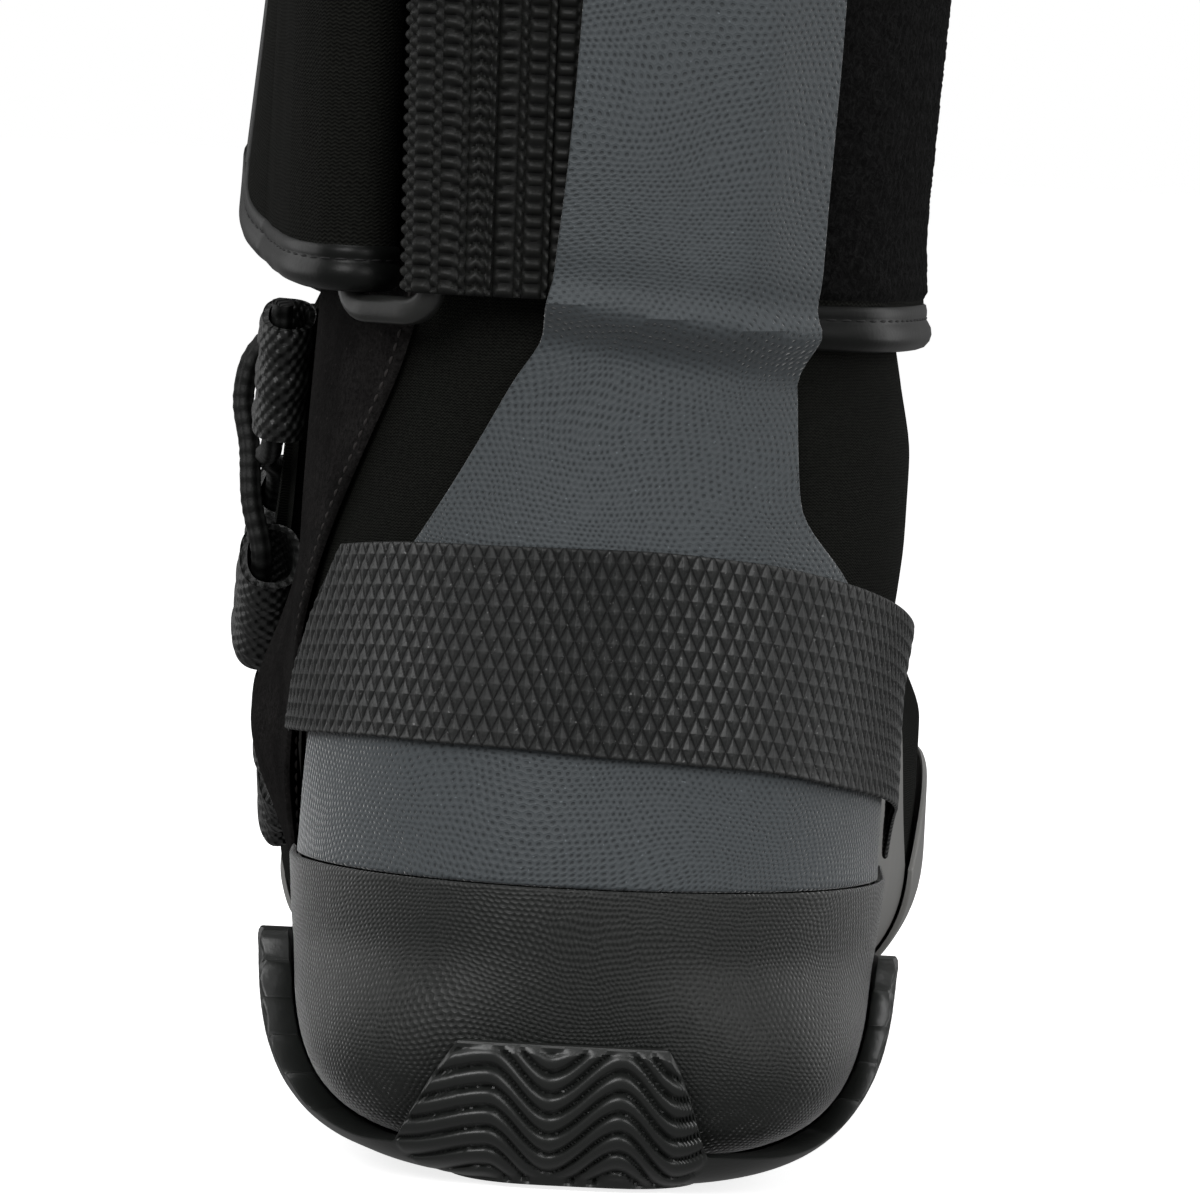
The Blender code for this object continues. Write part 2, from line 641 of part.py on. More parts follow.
def make_heel_panel(collection, cutters, material):
    rows = PANEL_EDGES.rows[:, 0]

    def outline(past, s, t):
        z = np.interp(t, np.linspace(0, 1, len(rows)), rows)
        left = turn_at(PANEL_EDGES.at("left", z), z)
        right = turn_at(PANEL_EDGES.at("right", z), z)
        return from_pole(past, left + (right - left) * s, z)

    def start(z):
        over = np.interp(z, (STEP_FROM, STEP_TO, STEP_BACK, STEP_END), (0, 1, 1, 0))
        return GAP + (ANKLE_OFF + ANKLE + 0.9 - GAP) * over
    over_upper("heel_panel", start, PANEL, outline, (2, len(rows) - 1), collection, cutters, material)


STRAP_EDGES = Table(
    "turn low high",
    (-88, 51.0, 73.0),
    (-60, 51.6, 75.3),
    (-35, 52.4, 77.0),
    (-16, 52.6, 77.4),
    (5, 52.2, 77.6),
    (27, 51.3, 76.7),
    (45, 49.4, 74.9),
    (65, 47.2, 72.0),
    (80, 45.2, 69.8),
    (90, 44.0, 68.5),
    (118, 37.0, 62.0),
)
STRAP_LEFT_LOW, STRAP_LEFT_HIGH, STRAP_RIGHT = -85.0, -62.0, 116.0


def make_heel_strap(collection, cutters, material):
    def outline(past, s, t):
        left = STRAP_LEFT_LOW + (STRAP_LEFT_HIGH - STRAP_LEFT_LOW) * t
        turn = left + (STRAP_RIGHT - left) * s
        low, high = STRAP_EDGES.at("low", turn), STRAP_EDGES.at("high", turn)
        return from_pole(past, turn, low + (high - low) * t)
    over_upper("heel_strap", GAP + PANEL + GAP, STRAP, outline, (9, 1), collection, cutters, material)


# The rand round the forefoot: its top edge over the upper's underside, from the outer side to the inner
RAND_FROM, RAND_TO, RAND_LOW = 11, 30, 3.2
RAND_TOP = Table("share h", (0, 24), (0.06, 34), (0.15, 37), (0.3, 31), (0.5, 20), (0.65, 25), (0.85, 26),
                 (1, 16))
NEAR_RAND, PAST_RAND = 0.55, 14.0


def make_rand(collection, cutters, material):
    def outline(past, s, t):
        column = RAND_FROM + (RAND_TO - RAND_FROM) * s
        y, dx, dy, _ = UPPER_PLAN.rays(column, TOE_CENTRE)
        x = ridge(y, SOLE_FLOOR)
        run = reach(x, y, dx, dy, SOLE_FLOOR + 20.0)
        z = SOLE_FLOOR + lift(y + dy * run) + RAND_LOW + (RAND_TOP.at("h", s) - RAND_LOW) * t
        run = run + PAST_RAND if past else run * NEAR_RAND
        return np.stack([x + dx * run, y + dy * run, z], axis=1)
    over_upper("forefoot_rand", GAP, RAND, outline, (RAND_TO - RAND_FROM, 1), collection, cutters, material)


# The suede bands beside the throat
EYESTAY_FROM, EYESTAY_TO, EYESTAY_EDGE = 0.02, 0.79, 1.2
FRONT_BAND = 16.0
REAR_EDGE = Table("t y z", (0, 22, 20.5), (0.15, 14.5, 32), (0.35, 5.5, 52), (0.55, -5.5, 71), (0.75, -13.5, 87),
                  (0.9, -18.5, 101), (1, -21, 113))
REAR_SAG = 12.0


def make_eyestays(collection, cutters, material):
    def share(t):
        return EYESTAY_FROM + (EYESTAY_TO - EYESTAY_FROM) * t

    def beside(past, y, z):
        return np.stack([np.full_like(y, PAST_SIDE if past else NEAR_SIDE), y, z], axis=1)

    def rear(past, s, t):
        y, z = beside_throat(share(t), -(THROAT.at("half", share(t)) + EYESTAY_EDGE))
        back, low = REAR_EDGE.at("y", t), REAR_EDGE.at("z", t)
        sag = REAR_SAG * 4 * s * (1 - s) * (1 - t) ** 3
        return beside(past, back + (y - back) * s, low + (z - low) * s - sag)

    def front(past, s, t):
        off = THROAT.at("half", share(t)) + EYESTAY_EDGE + FRONT_BAND * s
        return beside(past, *beside_throat(share(t), off))
    over_upper("eyestay_rear", GAP, SUEDE, rear, (3, 9), collection, cutters, material)
    over_upper("eyestay_front", GAP, SUEDE, front, (1, 9), collection, cutters, material)


# The webbing loops along both edges of the throat, and the lace crossed through them
LOOPS = Table("loop rear front high long", (0, 0.10, 0.09, 2.7, 14), (1, 0.27, 0.25, 2.8, 14),
              (2, 0.46, 0.41, 4.0, 18), (3, 0.70, 0.612, 3.6, 12.5))
LOOP_WIDE, LOOP_WALL, LACE_PAST = 5.4, 0.95, 1.7
LOOP_IN = 1.0           # the loop's middle lies this far outside the throat's edge
LOOP_OFF = GAP + SUEDE + 0.35
LACE = 1.5              # radius
LACE_BOW = Table("loop bow", (0, 0.5), (1, 0.8), (2, 1.2), (3, 4.5))   # how far a crossing stands away


def loop_frame(loop, side):
    """Middle and axes of a loop: along the throat, across it and away from the boot."""
    p = float(LOOPS.at("rear" if side < 0 else "front", loop))
    off = side * (float(THROAT.at("half", p)) + LOOP_IN)

    def at(share, more):
        y, z = beside_throat(np.array([share]), np.array([off + more]))
        return inner_side(y, z)[0]
    along = at(p + 0.01, 0) - at(p - 0.01, 0)
    across = at(p, 1.0) - at(p, -1.0)
    along /= np.linalg.norm(along)
    away = np.cross(along, across)
    away *= np.sign(-away[0]) / np.linalg.norm(away)
    across = np.cross(away, along)
    high = float(LOOPS.at("high", loop))
    return at(p, 0) + away * (LOOP_OFF + high), along, across, away, high


def make_loops(collection, material):
    for side, word in ((-1, "rear"), (1, "front")):
        for loop in range(len(LOOPS.rows)):
            middle, along, across, away, high = loop_frame(loop, side)

            def place(s, t):
                corner = np.rint(t * 4).astype(int) % 4
                size = np.where(corner < 2, 0.0, LOOP_WALL)
                end = np.where((corner == 0) | (corner == 3), -0.5, 0.5) * float(LOOPS.at("long", loop))
                a = 2 * math.pi * s
                return (middle + np.outer(end, along) + np.outer(np.cos(a) * (LOOP_WIDE - size), across)
                        + np.outer(np.sin(a) * (high - size), away))
            bm = outward(grid(8, 4, place))
            new_object(f"lace_loop_{word}_{loop + 1}", bm, collection, material)


def tube(name, path, radius, collection, material, sides=6):
    """A round bar along a path of points, closed at both ends."""
    path = np.array(path)
    ahead = np.gradient(path, axis=0)
    ahead /= np.linalg.norm(ahead, axis=1, keepdims=True)
    up = np.cross(ahead, np.cross([-1.0, 0.0, 0.0], ahead))
    up /= np.linalg.norm(up, axis=1, keepdims=True)
    aside = np.cross(ahead, up)

    def place(s, t):
        i = np.rint(t * (len(path) - 1)).astype(int)
        a = (2 * math.pi * s)[:, None]
        return path[i] + radius * (np.cos(a) * up[i] + np.sin(a) * aside[i])
    bm = grid(sides, len(path) - 1, place)
    bmesh.ops.holes_fill(bm, edges=[e for e in bm.edges if e.is_boundary], sides=0)
    return new_object(name, outward(bm), collection, material)


def make_lace(collection, cutters, material):
    def strand(first):
        path, side = [], first
        for loop in range(len(LOOPS.rows)):
            middle, along, _, away, high = loop_frame(loop, side)
            middle = middle + away * (high - LOOP_WALL - LACE - 0.25)
            reach_out = along * (float(LOOPS.at("long", loop)) / 2 + LACE_PAST)
            low = middle - reach_out
            if path:
                path.append((path[-1] + low) / 2 + away * float(LACE_BOW.at("bow", loop)))
            path += [low, middle + reach_out]
            side = -side
        return path
    rear, front = strand(-1), strand(1)
    below = (rear[0] + front[0]) / 2 + np.array([-1.2, 2.0, -2.0])
    one = tube("lace", [below] + rear, LACE, collection, material)
    other = tube("lace_other_strand", [below + np.array([0.0, -0.6, 0.3])] + front, LACE, cutters, material)
    join = one.modifiers.new("strands", "BOOLEAN")
    join.operation, join.solver, join.object = "UNION", "EXACT", other


# The ankle strap: from under the panel round the leg, through the ring and back over itself
LEG = 14.0              # it is measured round this station
STRAP_LOW, STRAP_LOW_RING, STRAP_HIGH = 104.7, 107.7, 153.2
RING_OFF, RING_BAR = 7.6, 1.6
RING_LEFT, RING_RIGHT = -39.0, -24.0   # turns of the ring's two long bars
RING_LOW, RING_HIGH = 104.8, 156.2
FOLD = RING_BAR + 0.45 + ANKLE / 2
STRAP_HUG = 1.7                     # its low edge lies this much closer to the ankle on the outer side
STRAP_END = Table("turn rise", (269.5, 10), (271, 6.2), (274, 3.8), (279, 2.0), (285, 0.8), (290, 0.1))
BOUND, BOUND_EDGE = 7.0, 0.35       # the strap's bound edges thin to this share over this height
BACK_OFF = ANKLE_OFF + 1.5 * ANKLE + 0.45   # middle of the layer folded back
ELASTIC, ELASTIC_LOW, ELASTIC_HIGH = 1.4, 108.7, 152.0
ELASTIC_FOLD = RING_BAR + 0.45 + ELASTIC / 2


def round_leg(turn, z, off):
    a = np.radians(turn)
    x, y = np.sin(a), -np.cos(a)
    run = reach(0.0, LEG, x, y, z)
    step = 0.5
    side = reach(0.0, LEG, np.sin(a + math.radians(step)), -np.cos(a + math.radians(step)), z)
    lean = np.arctan2(side - run, run * math.radians(step))
    n = np.stack([np.sin(a - lean), -np.cos(a - lean), np.zeros_like(a)], axis=1)
    return np.stack([x * run, LEG + y * run, np.broadcast_to(z, run.shape)], axis=1) + n * np.reshape(off, (-1, 1))


def ribbon(name, path, low, high, thick, bound, collection, material, flare=None):
    """A band on edge along a path of (turn, off) points round the leg: its outer face thins to both edges
    over `bound`, and its low edge stands out by `flare`, one value a point."""
    turn, off = np.array(path).T
    flat = round_leg(turn, np.full(len(turn), (low[0] + high) / 2), off)
    ahead = np.gradient(flat, axis=0)
    aside = np.stack([-ahead[:, 1], ahead[:, 0], np.zeros(len(turn))], axis=1)
    aside /= np.linalg.norm(aside, axis=1, keepdims=True)
    lows = np.interp(np.arange(len(turn)), np.linspace(0, len(turn) - 1, len(low)), low)
    flare = np.zeros(len(turn)) if flare is None else np.array(flare)
    level = np.array([0, 0, bound, -bound, 0, 0])      # over the low edge, or under the high one
    upper = np.array([False, False, False, True, True, True])
    face = np.array([-0.5, BOUND_EDGE - 0.5, 0.5, 0.5, BOUND_EDGE - 0.5, -0.5])

    def place(s, t):
        i = np.rint(t * (len(turn) - 1)).astype(int)
        corner = np.rint(s * 6).astype(int) % 6
        z = np.where(upper[corner], high, lows[i]) + level[corner]
        out = flare[i] * (1 - (z - lows[i]) / (high - lows[i]))
        middle = round_leg(turn[i], z, off[i] + out)
        return middle + aside[i] * (face[corner] * thick)[:, None]
    bm = grid(6, len(turn) - 1, place)
    bmesh.ops.holes_fill(bm, edges=[e for e in bm.edges if e.is_boundary], sides=0)
    return new_object(name, outward(bm), collection, material)


def fold_round(bar, fold, steps, sense):
    """A half turn round a bar of the ring, from the inner layer to the outer one."""
    wide = math.degrees(fold / 50.0)
    return [(bar + sense * wide * math.sin(a), RING_OFF - fold * math.cos(a))
            for a in np.linspace(0, math.pi, steps)]


def make_ankle_strap(collection, material):
    path = [(14.0 + (290.0 - 14.0) * i / 22, ANKLE_OFF + ANKLE / 2) for i in range(23)]
    path += [(301.0, ANKLE_OFF + ANKLE / 2 + 0.1), (311.0, ANKLE_OFF + ANKLE / 2 + 0.15)]
    path += fold_round(360 + RING_LEFT, FOLD, 7, 1)
    path += [(313.0, RING_OFF + FOLD - 0.6), (305.0, RING_OFF + FOLD - 2.2), (296.0, BACK_OFF + 0.5)]
    folded = len(path)
    path += [(turn, BACK_OFF) for turn in STRAP_END.rows[::-1, 0]]
    low = np.interp(np.arange(len(path)), (0, len(path) / 2, len(path) / 2 + 1, len(path)),
                    (STRAP_LOW, STRAP_LOW, STRAP_LOW_RING, STRAP_LOW_RING))
    low[folded:] += STRAP_END.rows[::-1, 1]
    hug = [-STRAP_HUG * float(ease(turn, 40, 70) * (1 - ease(turn, 120, 150))) for turn, _ in path[:folded]]
    flare = hug + [2.4 * float(ease(i, -3, 3)) for i in range(len(path) - folded)]
    ribbon("ankle_strap", path, low, STRAP_HIGH, ANKLE, BOUND, collection, material, flare)


def make_elastic(collection, material):
    inner = ANKLE_OFF + ELASTIC / 2
    path = [(4.0, inner), (-4.0, inner), (-12.0, inner + 0.8), (-19.0, RING_OFF - ELASTIC_FOLD - 0.3)]
    path += fold_round(RING_RIGHT, ELASTIC_FOLD, 7, -1)
    path += [(-18.0, RING_OFF + ELASTIC_FOLD - 1.4), (-13.0, inner + 4.3), (-9.0, inner + 2.2), (-2.0, inner + 1.9)]
    ribbon("elastic_band", path, [ELASTIC_LOW] * 2, ELASTIC_HIGH, ELASTIC, 1.0, collection, material)


def make_ring(collection, material):
    middle, half = (RING_LEFT + RING_RIGHT) / 2, (RING_RIGHT - RING_LEFT) / 2
    corner = 3.2
    turns, heights = [], []
    for quarter in range(4):
        for a in np.linspace(quarter * 90, quarter * 90 + 90, 3):
            c, d = math.cos(math.radians(a)), math.sin(math.radians(a))
            turns.append(middle + np.sign(round(math.cos(math.radians(quarter * 90 + 45)), 6))
                         * (half - math.degrees(corner / 50)) + c * math.degrees(corner / 50))
            up = 1 if quarter < 2 else -1
            centre = (RING_LOW + RING_HIGH) / 2
            heights.append(centre + up * ((RING_HIGH - RING_LOW) / 2 - corner) + d * corner)
    turns, heights = np.array(turns), np.array(heights)
    path = round_leg(turns, heights, np.full(len(turns), RING_OFF))
    ahead = np.roll(path, -1, axis=0) - np.roll(path, 1, axis=0)
    ahead /= np.linalg.norm(ahead, axis=1, keepdims=True)
    away = np.stack([path[:, 0], path[:, 1] - LEG, np.zeros(len(path))], axis=1).mean(axis=0)
    away /= np.linalg.norm(away)
    aside = np.cross(ahead, away)
    aside /= np.linalg.norm(aside, axis=1, keepdims=True)

    def place(s, t):
        i = np.rint(t * len(path)).astype(int) % len(path)
        a = (2 * math.pi * s)[:, None]
        return path[i] + RING_BAR * (np.cos(a) * away + np.sin(a) * aside[i])
    new_object("strap_ring", outward(grid(6, len(path), place)), collection, material)


def finish(name, colour, rough):
    material = bpy.data.materials.new(name)
    material.use_nodes = True
    shader = material.node_tree.nodes["Principled BSDF"]
    shader.inputs["Base Color"].default_value = (*colour, 1.0)
    shader.inputs["Roughness"].default_value = rough
    shader.inputs["Metallic"].default_value = 0.0
    return material


def collections():
    made = []
    for name in (COLLECTION, "cutters"):
        collection = bpy.data.collections.new(name)
        bpy.context.scene.collection.children.link(collection)
        made.append(collection)
    return made


def main():
    for obj in list(bpy.data.objects):
        bpy.data.objects.remove(obj)
    parts, cutters = collections()
    foam = finish("black_foam", (0.012, 0.012, 0.011), 0.8)
    sole = finish("black_rubber", (0.02, 0.022, 0.021), 0.5)
    suede = finish("black_suede", (0.014, 0.013, 0.013), 0.95)
    web = finish("black_webbing", (0.014, 0.014, 0.013), 0.7)
    make_upper(parts, cutters, foam)
    make_tongue(parts, foam)
    make_outsole(parts, cutters, sole)
    make_insole(parts, foam)
    make_heel_cup(parts, cutters, finish("pebbled_rubber", (0.026, 0.028, 0.026), 0.5))
    make_heel_panel(parts, cutters, finish("grey_rubber", (0.07, 0.08, 0.086), 0.5))
    make_heel_strap(parts, cutters, finish("grip_rubber", (0.023, 0.025, 0.024), 0.5))
    make_rand(parts, cutters, finish("satin_rubber", (0.06, 0.062, 0.062), 0.35))
    make_eyestays(parts, cutters, suede)
    make_loops(parts, web)
    make_lace(parts, cutters, finish("black_cord", (0.012, 0.012, 0.012), 0.7))
    make_ankle_strap(parts, finish("strap_foam", (0.009, 0.009, 0.009), 0.8))
    make_elastic(parts, web)
    make_ring(parts, finish("grey_plastic", (0.035, 0.036, 0.035), 0.4))
    for cutter in cutters.objects:
        cutter.hide_render = True
        cutter.display_type = "WIRE"


main()
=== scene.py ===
"""Looks of a dinghy sailing boot (right foot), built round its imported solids. Blender 4.5.

The toe points to +Y and the outer side of the foot to +X. Shapes are worked out in millimetres from
the boot's last, as the solids are, and turned into metres when a mesh is written.
"""

import logging
import math
from dataclasses import dataclass, field
from enum import Enum
from typing import Any, Callable, Optional, Sequence

import bpy
import numpy as np
from mathutils import Matrix, Vector

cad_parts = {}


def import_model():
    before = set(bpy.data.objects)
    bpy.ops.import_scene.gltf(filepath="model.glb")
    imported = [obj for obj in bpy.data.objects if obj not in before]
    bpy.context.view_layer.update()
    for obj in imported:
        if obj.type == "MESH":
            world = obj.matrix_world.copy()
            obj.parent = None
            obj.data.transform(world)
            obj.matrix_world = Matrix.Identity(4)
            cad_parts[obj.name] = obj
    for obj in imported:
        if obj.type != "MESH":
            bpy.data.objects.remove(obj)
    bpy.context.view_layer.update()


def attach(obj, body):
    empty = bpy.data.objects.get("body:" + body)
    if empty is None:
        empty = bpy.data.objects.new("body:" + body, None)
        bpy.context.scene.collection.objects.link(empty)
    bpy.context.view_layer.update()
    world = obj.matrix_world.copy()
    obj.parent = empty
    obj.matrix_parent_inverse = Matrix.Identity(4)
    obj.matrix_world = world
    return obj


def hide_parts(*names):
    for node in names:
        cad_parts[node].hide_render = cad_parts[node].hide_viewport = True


LOG = logging.getLogger("boot")
MM = 0.001
BODY = "root"
Array = np.ndarray
Obj = bpy.types.Object
Place = Callable[[Array, Array], Array]
WELD = 1e-6          # metres within which two points are one
FAR = 320.0          # millimetres, past the surface from any point inside the last
HALVINGS = 30        # steps that find the surface between here and there
TURN_HALVINGS = 18   # the same for a turn round the heel
WIDEST = 88.0        # the widest turn that is looked for on the heel
SETTLE = 4           # rounds that settle a point whose height depends on where it lies
NET = 33             # lines of the net that measures a sheet


class Table:
    """A short table with named columns, read between its rows with a smooth monotone curve."""

    def __init__(self, columns: str, *rows: Sequence[float]) -> None:
        """Keeps the rows under the names of the columns."""
        self.columns = columns.split()
        self.rows = np.array(rows, float)

    def at(self, column: str, where: Any) -> Array:
        """Reads one column.

        Args:
            column: The column's name.
            where: Values of the first column.

        Returns:
            The column's values there.
        """
        x, y = self.rows[:, 0], self.rows[:, self.columns.index(column)]
        where = np.clip(where, x[0], x[-1])
        step = np.diff(x)
        rise = np.diff(y) / step
        slope = np.zeros(len(x))
        same = rise[:-1] * rise[1:] > 0
        low, high = 2 * step[1:] + step[:-1], step[1:] + 2 * step[:-1]
        with np.errstate(divide="ignore", invalid="ignore"):
            mean = (low + high) / (low / rise[:-1] + high / rise[1:])
        slope[1:-1] = np.where(same, mean, 0.0)
        slope[0], slope[-1] = rise[0], rise[-1]
        i = np.clip(np.searchsorted(x, where, "right") - 1, 0, len(x) - 2)
        t = (where - x[i]) / step[i]
        return (
            y[i] * (1 + 2 * t) * (1 - t) ** 2
            + slope[i] * step[i] * t * (1 - t) ** 2
            + y[i + 1] * t * t * (3 - 2 * t)
            + slope[i + 1] * step[i] * t * t * (t - 1)
        )


def table(columns: str, *rows: Sequence[float]) -> Any:
    """A dataclass field that holds a table."""
    return field(default_factory=lambda: Table(columns, *rows))


def ease(value: Any, start: Any, end: Any) -> Array:
    """A smooth step from 0 at start to 1 at end."""
    t = np.clip((np.asarray(value, float) - start) / (end - start), 0.0, 1.0)
    return t * t * (3 - 2 * t)


def window(value: Any, start: Any, full: Any, fall: float, end: float) -> Array:
    """A smooth step up from start to full, and down again from fall to end."""
    return ease(value, start, full) * (1 - ease(value, fall, end))


def rounded(share: Array, power: Any) -> Array:
    """A rounded end: 0 where it starts, 1 from the end of its run on."""
    return (1.0 - (1.0 - np.clip(share, 0.0, 1.0)) ** power) ** (1.0 / power)


def bump_at(value: Array, middle: float, half: float) -> Array:
    """A soft hump of height 1 round a middle."""
    return np.exp(-(((value - middle) / half) ** 2))


def lengths_along(path: Array) -> Array:
    """The length from a path's first point to each of its points."""
    return np.concatenate([[0.0], np.cumsum(np.linalg.norm(np.diff(path, axis=0), axis=1))])


def rows_of(*columns: Array) -> Array:
    """Rows made of columns, such as points of their coordinates."""
    return np.stack(columns, axis=1)


def nearest(values: Array) -> Array:
    """The whole numbers nearest to values, for an index."""
    return np.rint(values).astype(int)


def unit(vectors: Array) -> Array:
    """Rows of vectors, each brought to length 1."""
    return vectors / np.linalg.norm(vectors, axis=1, keepdims=True)


def between(where: Array, at: Array, values: Array) -> Array:
    """Rows of values read between the places they belong to."""
    return np.stack([np.interp(where, at, values[:, k]) for k in range(values.shape[1])], axis=1)


def blunt(s: Array, across: float, away: float) -> Array:
    """Points of a round section by the share round it, made blunter by two powers under 1."""
    c, d = np.cos(2 * math.pi * s), np.sin(2 * math.pi * s)
    return rows_of(np.sign(c) * np.abs(c) ** across, np.sign(d) * np.abs(d) ** away)


@dataclass
class Last:
    """The form the boot is made on: its half-width at a station y along the foot and a height z."""

    floor: float = 5.2
    arch: tuple[float, float, float] = (4.0, 38.0, 104.0)
    spring: tuple[float, float, float] = (9.0, 160.0, 238.5)
    foot: tuple[float, float] = (8.0, 70.0)
    shaft: tuple[float, float] = (62.0, 112.0)
    heel_square: float = 2.6
    heel_round_top: float = 30.0
    pole: float = 6.0
    leg: float = 14.0
    levels: Table = table(
        "z back back_run front run_out run_in half_out half_in",
        (4, -26, 32, 200, 86, 60, 34.4, 34.4),
        (6, -30, 33, 213, 86, 60, 34.4, 34.4),
        (10, -33.6, 34, 225, 86, 60, 34.5, 34.5),
        (15, -35.8, 35, 233, 84, 60, 34.6, 34.6),
        (20, -36.8, 36, 236.5, 82, 58, 34.7, 34.7),
        (25, -37.4, 37, 238.5, 80, 57, 34.8, 34.8),
        (30, -37.7, 37, 239, 78, 56, 35.3, 35.3),
        (34, -37.8, 37, 236.5, 76, 56, 35.7, 35.6),
        (38, -37.7, 37, 230.5, 74, 57, 36, 35.9),
        (42, -37.5, 38, 219, 72, 58, 36.1, 36.1),
        (46, -37.2, 38, 202, 70, 60, 36.2, 36.3),
        (50, -36.8, 38, 183, 70, 62, 36.2, 36.4),
        (55, -36.2, 39, 161, 70, 64, 36.2, 36.6),
        (60, -35.6, 39, 143, 70, 66, 36.3, 36.8),
        (70, -34.3, 40, 117, 68, 66, 37.4, 37),
        (80, -33.2, 41, 98.5, 64, 64, 38.4, 37),
        (90, -32.4, 42, 85, 60, 60, 38.6, 36.8),
        (100, -32, 43, 74.5, 56, 56, 37, 36.4),
        (110, -32.2, 44, 69, 52, 52, 35.2, 36),
        (120, -32.6, 44, 66, 49, 49, 34.3, 35.8),
        (140, -33.6, 45, 63.5, 48, 48, 34.6, 35.8),
        (165, -35, 46, 62.5, 48, 48, 35.2, 36.2),
        (192, -36.5, 47, 63, 48, 48, 36, 37),
    )
    stations: Table = table(
        "y half_out half_in round_out round_in power ridge",
        (-40, 35, 35, 31, 31, 4.4, 0),
        (0, 35.6, 35.6, 31, 31, 4.2, 0),
        (30, 37, 38, 30, 37, 3.3, -1),
        (60, 39.6, 39.4, 27, 43, 2.8, -3),
        (90, 42.8, 39.4, 26, 40, 2.6, -5),
        (120, 46, 41.8, 26, 28, 2.5, -6),
        (142, 46.6, 44.6, 26, 23, 2.5, -7),
        (165, 46, 45, 25, 21, 2.5, -8.5),
        (190, 44, 44, 22, 19, 2.5, -10),
        (240, 42, 42, 18, 18, 2.4, -11),
    )

    def lift(self, y: Any) -> Array:
        """How far the sole's underside lies over the floor at a station.

        Args:
            y: Stations along the foot.

        Returns:
            Heights in millimetres.
        """
        y = np.asarray(y, float)
        high, start, end = self.arch
        arch = high * np.sin(math.pi * np.clip((y - start) / (end - start), 0, 1)) ** 2
        high, start, end = self.spring
        return arch + high * (np.clip(y - start, 0, None) / (end - start)) ** 2

    def ridge(self, y: Any, z: Any) -> Array:
        """X of the middle line."""
        up = ease(z, *self.shaft)
        return self.stations.at("ridge", y) * (1 - up) - up

    def half_width(self, side: int, y: Array, z: Array) -> Array:
        """X of the surface on one side.

        Args:
            side: 1 for the outer side of the foot, -1 for the inner one.
            y: Stations along the foot.
            z: Heights.

        Returns:
            X at each point.
        """
        end = "out" if side > 0 else "in"
        foot = ease(y, *self.foot) * (1 - ease(z, *self.shaft))
        base = self.levels.at("half_" + end, z) * (1 - foot) + self.stations.at("half_" + end, y) * foot
        front = rounded((self.levels.at("front", z) - y) / self.levels.at("run_" + end, z), 2.15)
        square = self.heel_square * (1 - ease(z, self.floor, self.heel_round_top))
        back = rounded((y - self.levels.at("back", z)) / self.levels.at("back_run", z), 2.05 + square)
        over = (z - self.floor - self.lift(y)) / self.stations.at("round_" + end, y)
        under = rounded(over, self.stations.at("power", y))
        middle = self.ridge(y, z)
        return middle + side * (base - side * middle) * front * back * under

    def reach(self, x: Any, y: Any, dx: Any, dy: Any, z: Any) -> Array:
        """Distance from a point along a level direction to the surface, by halving.

        Args:
            x: X of the starts.
            y: Y of the starts.
            dx: X of the directions.
            dy: Y of the directions.
            z: Heights.

        Returns:
            The distances.
        """
        x, y, dx, dy, z = np.broadcast_arrays(*(np.asarray(v, float) for v in (x, y, dx, dy, z)))
        near, far = np.zeros(x.shape), np.full(x.shape, FAR)
        for _ in range(HALVINGS):
            middle = (near + far) / 2
            px, py = x + dx * middle, y + dy * middle
            inside = (px < self.half_width(1, py, z)) & (px > self.half_width(-1, py, z))
            near, far = np.where(inside, middle, near), np.where(inside, far, middle)
        return near

    def follow(self, x: Optional[Array], y: Array, dx: Array, dy: Array, flat: Array,
               lifted: Any = 1.0) -> tuple[Array, Array]:
        """Reaches from the middle line to the surface, at heights that lift with the sole.

        Args:
            x: X of the starts, or None for the middle line at each height.
            y: Stations of the starts.
            dx: X of the level directions.
            dy: Y of the level directions.
            flat: Heights before the lift.
            lifted: The share of the lift that a point takes.

        Returns:
            The runs, and the surface's points with the coordinate last.
        """
        there = y
        for _ in range(SETTLE):
            z = flat + lifted * self.lift(there)
            start = self.ridge(y, z) if x is None else x
            run = self.reach(start, y, dx, dy, z)
            there = y + dy * run
        return run, np.stack([start + dx * run, there, z], axis=-1)

    def round_heel(self, turn: Array, z: Array) -> Array:
        """The surface at a turn round the heel: 0 is straight back, 90 the outer side.

        Args:
            turn: Turns in degrees.
            z: Heights.

        Returns:
            Points in millimetres.
        """
        a = np.radians(turn)
        x, y = np.sin(a), -np.cos(a)
        run = self.reach(0.0, self.pole, x, y, z)
        return rows_of(x * run, self.pole + y * run, np.broadcast_to(z, run.shape))

    def turn_at(self, x: Array, z: Array) -> Array:
        """The turn round the heel where the surface has this x.

        Args:
            x: X of the points.
            z: Heights.

        Returns:
            Turns in degrees.
        """
        low, high = np.full(x.shape, -WIDEST), np.full(x.shape, WIDEST)
        for _ in range(TURN_HALVINGS):
            middle = (low + high) / 2
            under = self.round_heel(middle, z)[:, 0] < x
            low, high = np.where(under, middle, low), np.where(under, high, middle)
        return low

    def inner_side(self, y: Array, z: Array) -> Array:
        """Points of the inner side at stations and heights."""
        return rows_of(self.half_width(-1, y, z), y, z)

